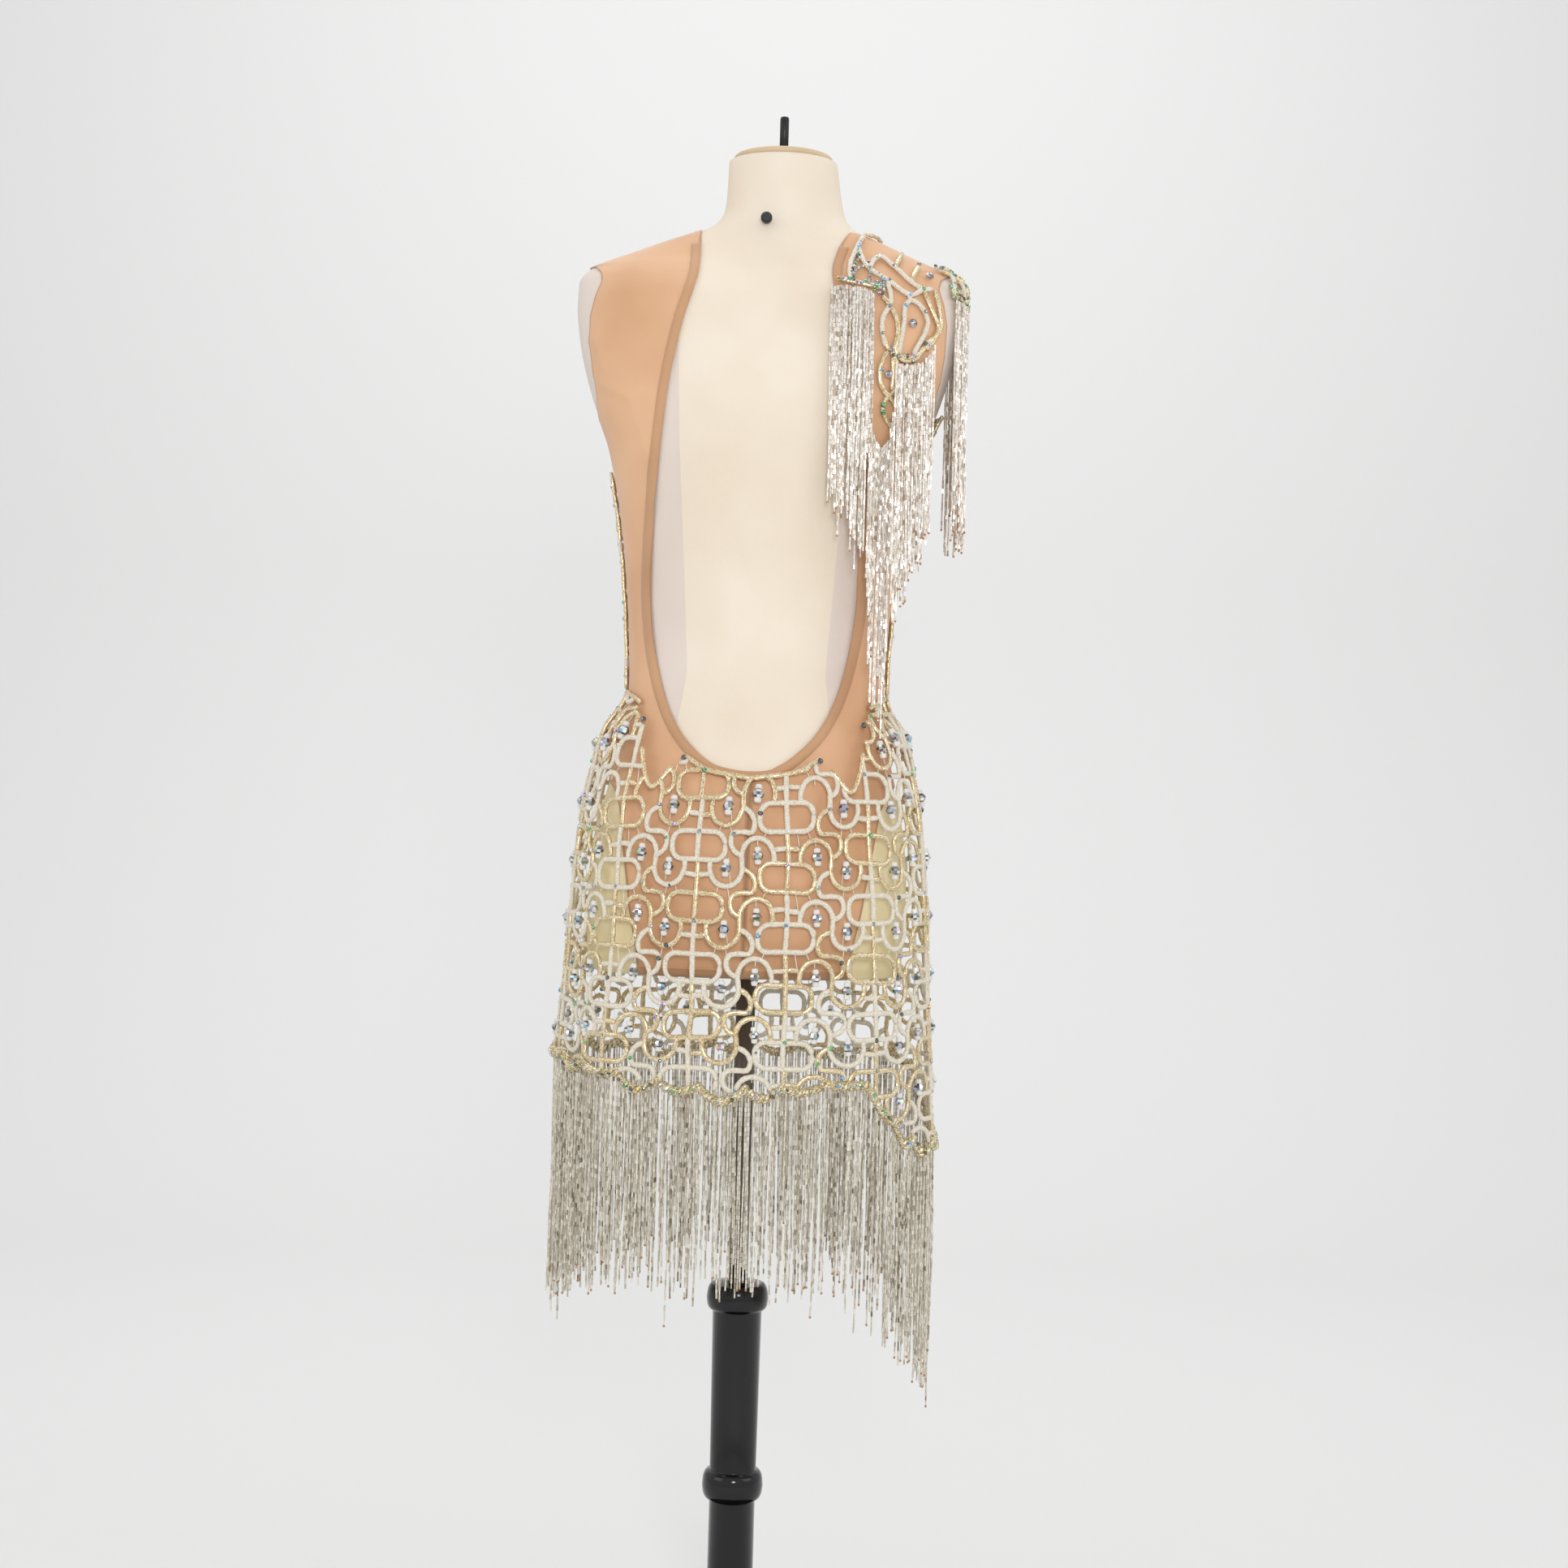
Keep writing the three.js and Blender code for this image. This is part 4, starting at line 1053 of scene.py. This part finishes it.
# each facet gets the stone's own tint times a random brightness, which is painted glint and painted shade;
# the rare strongly coloured facets are painted coloured glints
def facetTintAndGlint(shade, rng):
    base = next(color for limit, color in stoneTints if shade < limit)
    facetGlint = rng.uniform(0.5, 1.7)
    vary = 0.5 if rng.random() < 0.16 else 0.07
    return [min(1, max(0.02, c * facetGlint * rng.uniform(1 - vary, 1 + vary))) for c in base]


def buildStones(name, stones):
    rng = random.Random(len(stones) + 5)
    points, faces, tints, start = [], [], [], 0
    profile = [(1.0, -0.35), (1.0, 0.05), (0.62, 0.5), (0.3, 0.62)]
    shape, shapeFaces = facets(profile, 8)
    for place, normal, (size, shade) in stones:
        axes = frameFor(normal[0], rng.uniform(0, 1))
        points.append(place[0] + (shape * size) @ axes)
        faces.extend([[i + start for i in f] for f in shapeFaces])
        tints.extend([*facetTintAndGlint(shade, rng), 1] for _ in shapeFaces)
        start += len(shape)
    mesh = makeMesh(name, np.concatenate(points), faces, [coatedStone], smooth=False)
    attribute = mesh.attributes.new("tint", "FLOAT_COLOR", "FACE")
    attribute.data.foreach_set("color", np.array(tints, np.float32).ravel())
    linkPiece(name, mesh, "crystal")


def buildPendants(name, pendants):
    # a faceted crystal between two small clear cups
    cup = facets([(1.3, 0), (2.2, 0.7), (2.5, 3.4), (1.6, 4.6)], 8)
    gem = facets([(1.6, -4.0), (3.3, -2.2), (4.1, 0), (3.3, 2.2), (1.6, 4.0)], 9)
    points, faces, index, tints, start = [], [], [], [], 0
    rng = random.Random(len(pendants) + 77)
    for (foot, head), (normal, _), turn in pendants:
        axis = head - foot
        length = np.linalg.norm(axis)
        axes = frameFor(axis / length, math.radians(turn), np.asarray(normal))
        scale = length / 18
        for (shape, shapeFaces), offset, flip, slot in ((cup, 0.3, 1, 0), (gem, 8.6, 1, 1),
                                                        (cup, 17.0, -1, 0)):
            local = shape * (1.3, 1.3, flip * 1.08) + (0, 0, offset)
            points.append(foot + (local * scale) @ axes + np.asarray(normal) * 1.6)
            order = shapeFaces if flip > 0 else [f[::-1] for f in shapeFaces]
            faces.extend([[i + start for i in f] for f in order])
            index.extend([slot] * len(order))
            # every gem facet draws its own shade at random: painted glints and painted reflections across the
            # facets
            for _ in order:
                rare = 0.62 if rng.random() < 0.3 else 0.99
                tints.append([*facetTintAndGlint(rng.choice((0.3, 0.3, 0.5, 0.99, rare)), rng), 1])
            start += len(shape)
    mesh = makeMesh(name, np.concatenate(points), faces, [frostedCup, coatedStone], index, False)
    attribute = mesh.attributes.new("tint", "FLOAT_COLOR", "FACE")
    attribute.data.foreach_set("color", np.array(tints, np.float32).ravel())
    linkPiece(name, mesh, "crystal")


def buildCords():
    rng = random.Random(3)
    for name, basket in sorted(baskets.items()):
        points, faces, counts = sweep(basket["cord"], lattice["width"], lattice["deep"], lattice["sides"],
                                      rng)
        index = np.repeat(np.array(basket["gold"], int), counts)
        piece = linkPiece("cords_" + name,
                          makeMesh("cords_" + name, points, faces, [ivoryCord, goldCord], index),
                          "gold_cord" if name == "drop_motif" else "ivory_cord", name)
        if basket["thread"]:
            lines = [item[:2] for item in basket["thread"]]
            points, faces, _ = sweep(lines, 0.45, 0.45, 4, rng, False)
            linkPiece("threads_" + name,
                                     makeMesh("threads_" + name, points, faces, [whiteThread]),
                                     "ivory_cord")
        if basket["stone"]:
            buildStones("stones_" + name, basket["stone"])
        if basket["pendant"]:
            buildPendants("pendants_" + name, basket["pendant"])


addRepeat()
addEdgeCords()
settleLattice()
addYoke()
addEpaulette()
addDrop()
buildCords()
print("lattice built")


# hem braid: shallow scallops of wrapped gold cord with small coloured stones
braid = {"scallop": 40, "sag": 11, "width": 3.6, "strand": 2.0}


def buildHemBraid():
    rng = random.Random(11)
    angles = np.linspace(0, 360, 721)
    ring = skirtPoint(angles, hemHeight(angles))
    seats = np.concatenate([[0], np.cumsum(np.linalg.norm(np.diff(ring, axis=0), axis=1))])
    count = int(round(seats[-1] / braid["scallop"]))
    thick, thin, stones = [], [], []
    ends = np.cumsum([rng.uniform(0.75, 1.25) for _ in range(count)])
    ends = np.concatenate([[0], ends]) / ends[-1] * seats[-1]
    for first, last in zip(ends[:-1], ends[1:]):
        along = np.linspace(first - 1.5, last + 1.5, 15)
        sag = braid["sag"] * rng.uniform(0.5, 1.3)
        share = np.linspace(0, 1, 15)
        angle = np.interp(along % seats[-1], seats, angles)
        z = hemHeight(angle) + 7 - sag * np.sin(np.pi * share) + rng.uniform(-1.5, 1.5)
        out = 1.2 + 1.5 * np.sin(np.pi * share) + rng.uniform(-0.5, 1)
        line = moved(skirtPoint, angle, z, out)
        normals = normalOf(skirtPoint, angle, z)
        thick.append((line, normals))
        for shift in (0, math.pi):
            fine = np.linspace(0, 1, 40)
            middle = np.stack([np.interp(fine, share, line[:, i]) for i in range(3)], -1)
            out3 = np.stack([np.interp(fine, share, normals[:, i]) for i in range(3)], -1)
            turn = fine * 22 + shift
            up = np.array([0, 0, 1.0])
            twist = middle + 3.3 * (out3 * np.cos(turn)[:, None] + up * np.sin(turn)[:, None])
            thin.append((twist, out3))
        for i in range(2, 14, 2):
            if rng.random() < 0.6:
                place = line[i] + normals[i] * 4.6
                stones.append(([place], [normals[i]], (rng.uniform(1.5, 2.3), rng.uniform(0.3, 1))))
    core, faces, _ = sweep(thick, braid["width"], braid["width"] * 0.8, 7, rng)
    wrap, wrapFaces, _ = sweep(thin, braid["strand"], braid["strand"], 6, rng)
    faces += [[i + len(core) for i in f] for f in wrapFaces]
    mesh = makeMesh("hem_braid", np.concatenate([core, wrap]), faces, [hemCord])
    linkPiece("hem_braid", mesh, "gold_cord")
    buildStones("hem_stones", stones)


buildHemBraid()


# bead fringe: strands of cut beads, each bead a little prism turned its own way
beads = {"wide": 0.85, "long": 4.2, "gap": 0.35, "hemStrands": 560, "shoulderSpacing": 0.95,
         "shorter": (-0.1, -0.04, 0, 0, 0.05, 0.1, 0.16, 0.3)}


def hemFringeLength(angle):
    side = np.minimum(angle % 180, 180 - angle % 180)
    toSide = 1 - smoothStep(side / 66)
    middle = np.where(angle % 360 < 180, 196, 215)
    edge = np.where(np.cos(np.radians(angle)) > 0, 236, 246)
    return middle + (edge - middle) * toSide


def hangStrand(top, foot, rng, sway=1.0):
    # points down a strand, hanging plumb with a slight drift of its own
    length = top[2] - foot
    n = max(2, int(length / (beads["long"] + beads["gap"])))
    share = np.arange(n + 1) / n
    drift = rng.uniform(-1, 1) * sway
    bend = rng.uniform(-1, 1) * sway
    x = top[0] + 1.6 * drift * share + 0.9 * bend * np.sin(share * 5 + drift)
    y = top[1] + 1.2 * rng.uniform(-1, 1) * sway * share
    return np.stack([x, y, top[2] - length * share], -1)


def buildStrands(name, strands, material, slot, node, seed, scale=1.0):
    rng = np.random.default_rng(seed)
    a = np.concatenate([s[:-1] for s in strands])
    b = np.concatenate([s[1:] for s in strands])
    axis = b - a
    length = np.linalg.norm(axis, axis=1, keepdims=True)
    axis /= length
    a = a + axis * beads["gap"] / 2
    b = b - axis * beads["gap"] / 2
    turn = rng.uniform(0, math.pi / 2, len(a))
    tilt = rng.normal(0, 0.05, (len(a), 3))
    guide = np.stack([np.cos(turn), np.sin(turn), np.zeros(len(a))], -1)
    u = guide - axis * (guide * axis).sum(1, keepdims=True)
    u /= np.linalg.norm(u, axis=1, keepdims=True)
    v = np.cross(axis, u)
    wide = beads["wide"] * scale * rng.uniform(0.85, 1.2, (len(a), 1))
    ringA = [a + (u * c + v * s) * wide for c, s in ((1, 0), (0, 1), (-1, 0), (0, -1))]
    lean = tilt * 1.6
    ringB = [b + lean * 0.3 + (u * c + v * s) * wide for c, s in ((1, 0), (0, 1), (-1, 0), (0, -1))]
    points = np.stack(ringA + ringB, 1).reshape(-1, 3)
    # each bead is open at both ends
    base = np.array([[0, 4, 5, 1], [1, 5, 6, 2], [2, 6, 7, 3], [3, 7, 4, 0]])
    faces = (base[None] + 8 * np.arange(len(a))[:, None, None]).reshape(-1, 4)
    mesh = makeMesh(name, points, faces, [material], smooth=False)
    # tone per bead and per strand is painted light: bright beads and lighter whole strands are painted
    # glints, dark ones painted shade
    strandGlintShade = np.repeat(rng.uniform(-0.22, 0.22, len(strands)), [len(strand) - 1 for strand in strands])
    tone = np.repeat(np.clip(rng.beta(2.2, 1.6, len(a)) + strandGlintShade, 0, 1), 4).astype(np.float32)
    mesh.attributes.new("tone", "FLOAT", "FACE").data.foreach_set("value", tone)
    piece = linkPiece(name, mesh, slot, node)
    print("  ", name, len(strands), "strands", len(faces) * 2, "triangles")
    return piece


def buildKnots(name, places):
    shape, shapeFaces = facets([(0.5, -1.4), (1.1, -0.5), (1.0, 0.6), (0.4, 1.3)], 6)
    points = np.concatenate([shape + place for place in places])
    faces = [[i + k * len(shape) for i in f] for k in range(len(places)) for f in shapeFaces]
    linkPiece(name, makeMesh(name, points, faces, [tanKnot]), "gold_cord")


def buildHemFringe():
    rng = random.Random(29)
    groups = {name: [] for name in quarterNames}
    count = beads["hemStrands"]
    angle = np.array([(k + rng.uniform(-0.5, 0.5)) * 360 / count + 0.9 * math.sin(k / 4.1)
                      for k in range(count)])
    lifts = np.array([rng.uniform(-1.4, 2.2) for _ in angle])
    tops = moved(skirtPoint, angle, hemHeight(angle), lifts)
    for a, top, full in zip(angle, tops, hemFringeLength(angle)):
        short = rng.choice((1, 1, 1, 1, 0.93, 0.85)) * rng.uniform(0.86, 1.0)
        if rng.random() < 0.06:
            short *= rng.uniform(1.08, 1.24)
        groups[quarterOf(a)].append(hangStrand(top + (0, 0, 2), top[2] - full * short, rng, 1.5))
    for i, (name, strands) in enumerate(groups.items()):
        side = name.replace("skirt_", "")
        buildStrands("hem_strands_" + side, strands, champagneBead, "champagne_bead", "fringe_hem_" + side,
                     50 + i)
    knots = [s[-1] + (0, 0, -0.8) for strands in groups.values() for s in strands if rng.random() < 0.3]
    buildKnots("hem_knots", knots)


def plumbDepth(x, top, back=True):
    heights = np.arange(top, 940, -6.0)
    half = formCurves["half"](heights) + 4.4
    deep = formCurves["back" if back else "front"](heights) + 4.4
    power = formCurves["square"](heights)
    share = np.abs(x - formCurves["lean"](heights)) / half
    depth = np.where(share < 1, deep * np.maximum(0, 1 - share ** power) ** (1 / power), 0)
    return heights, np.maximum.accumulate(depth + (1 if back else -1) * formCurves["mid"](heights))


innerFringe = [(64, 1351, 1176), (70, 1350, 1140), (78, 1350, 1132), (88, 1349, 1112), (96, 1348, 1100),
               (104, 1345, 1092)]
middleFringe = [(104.8, 1226, 1072), (107, 1212, 1010), (110, 1206, 962), (116, 1200, 944),
                (122, 1208, 950), (125, 1226, 985), (127, 1279, 1040), (135, 1279, 1062), (144, 1280, 1074),
                (154, 1284, 1092), (160, 1292, 1112), (164, 1301, 1126)]
outerFringe = {"first": 150, "last": 210, "top": 1345.5, "foot": 1124, "strands": 84}


def buildShoulderFringe():
    rng = random.Random(31)
    for name, rows in (("inner", innerFringe), ("middle", middleFringe)):
        xs, tops, feet = zip(*rows)
        strands = []
        for x in np.arange(xs[0], xs[-1], beads["shoulderSpacing"]):
            x += rng.uniform(-0.4, 0.4)
            top, foot = np.interp(x, xs, tops), np.interp(x, xs, feet)
            top += rng.uniform(-3, 0) - (2 if name == "middle" else 0)
            foot += (top - foot) * rng.choice(beads["shorter"]) * rng.uniform(0.4, 1.3)
            heights, depths = plumbDepth(x, top)
            strand = hangStrand(np.array([-x, 0, top]), foot, rng, 0.8)
            strand[:, 1] = np.interp(-strand[:, 2], -heights, depths) + 1.3 + rng.uniform(0.2, 3.2)
            strands.append(strand)
        buildStrands("shoulder_strands_" + name, strands, silverBead, "silver_bead",
                     "fringe_shoulder_" + name, 61, 1.1)
        buildKnots("shoulder_knots_" + name, [s[-1] for s in strands if rng.random() < 0.6])
    strands = []
    for angle in np.linspace(outerFringe["first"], outerFringe["last"], outerFringe["strands"]):
        edge = moved(formPoint, np.array(angle), np.array(outerFringe["top"]),
                     np.array(5.0 + rng.uniform(-0.8, 1.6)))
        foot = outerFringe["foot"] + rng.choice((-14, 0, 3, 10, 22, 40)) * rng.uniform(0.3, 1.2)
        strand = hangStrand(edge, foot, rng, 0.8)
        heights, depths = plumbDepth(-edge[0], outerFringe["top"], edge[1] > 0)
        depth = np.maximum(abs(edge[1]), np.interp(-strand[:, 2], -heights, depths))
        strand[:, 1] = math.copysign(1, edge[1]) * depth
        strands.append(strand)
    buildStrands("shoulder_strands_outer", strands, silverBead, "silver_bead", "fringe_shoulder_outer", 67,
                 1.1)
    buildKnots("shoulder_knots_outer", [s[-1] for s in strands if rng.random() < 0.6])


buildHemFringe()
buildShoulderFringe()
print("fringes built")

# lights and backdrop
studio = {"backdrop": (0.80, 0.80, 0.79), "world": (0.98, 0.99, 1.0), "worldPower": 0.74, "bend": -2.0,
          "curve": 1.4,
          "lights": [("key", (-0.25, 2.6, 1.35), (0, 0, 0.95), 0.45, 17),
                     ("left", (2.3, 1.2, 1.9), (0, 0, 0.9), 1.6, 8),
                     ("right", (-2.3, 1.0, 1.9), (0, 0, 0.9), 1.6, 8),
                     ("backdrop", (0, -0.9, 3.4), (0, -3.2, 0.7), 2.2, 30)]}


def buildStudio():
    world = bpy.data.worlds.new("studio")
    scene.world = world
    world.use_nodes = True
    world.node_tree.nodes["Background"].inputs[0].default_value = (*studio["world"], 1)
    world.node_tree.nodes["Background"].inputs[1].default_value = studio["worldPower"]
    profile = [(6, 0), (studio["bend"], 0)]
    for turn in np.linspace(0, math.pi / 2, 16)[1:]:
        profile.append((studio["bend"] - studio["curve"] * math.sin(turn),
                        studio["curve"] * (1 - math.cos(turn))))
    profile.append((studio["bend"] - studio["curve"], 6))
    points = np.array([[x, y, z] for y, z in profile for x in (-6, 6)]) / mm
    wall = addGrain(newMaterial("backdrop", studio["backdrop"], 0.9), 4, 0.86, 0.95, 0.01)
    mesh = makeMesh("backdrop", points, gridFaces(len(profile), 2), [wall])
    backdrop = bpy.data.objects.new("backdrop", mesh)
    scene.collection.objects.link(backdrop)
    for name, place, aim, size, power in studio["lights"]:
        light = bpy.data.lights.new(name, "AREA")
        light.size = size
        light.energy = power
        lamp = bpy.data.objects.new(name, light)
        lamp.location = place
        lamp.visible_camera = False
        lamp.rotation_euler = (Vector(aim) - Vector(place)).to_track_quat("-Z", "Y").to_euler()
        scene.collection.objects.link(lamp)
    scene.view_settings.view_transform = "Standard"


buildStudio()
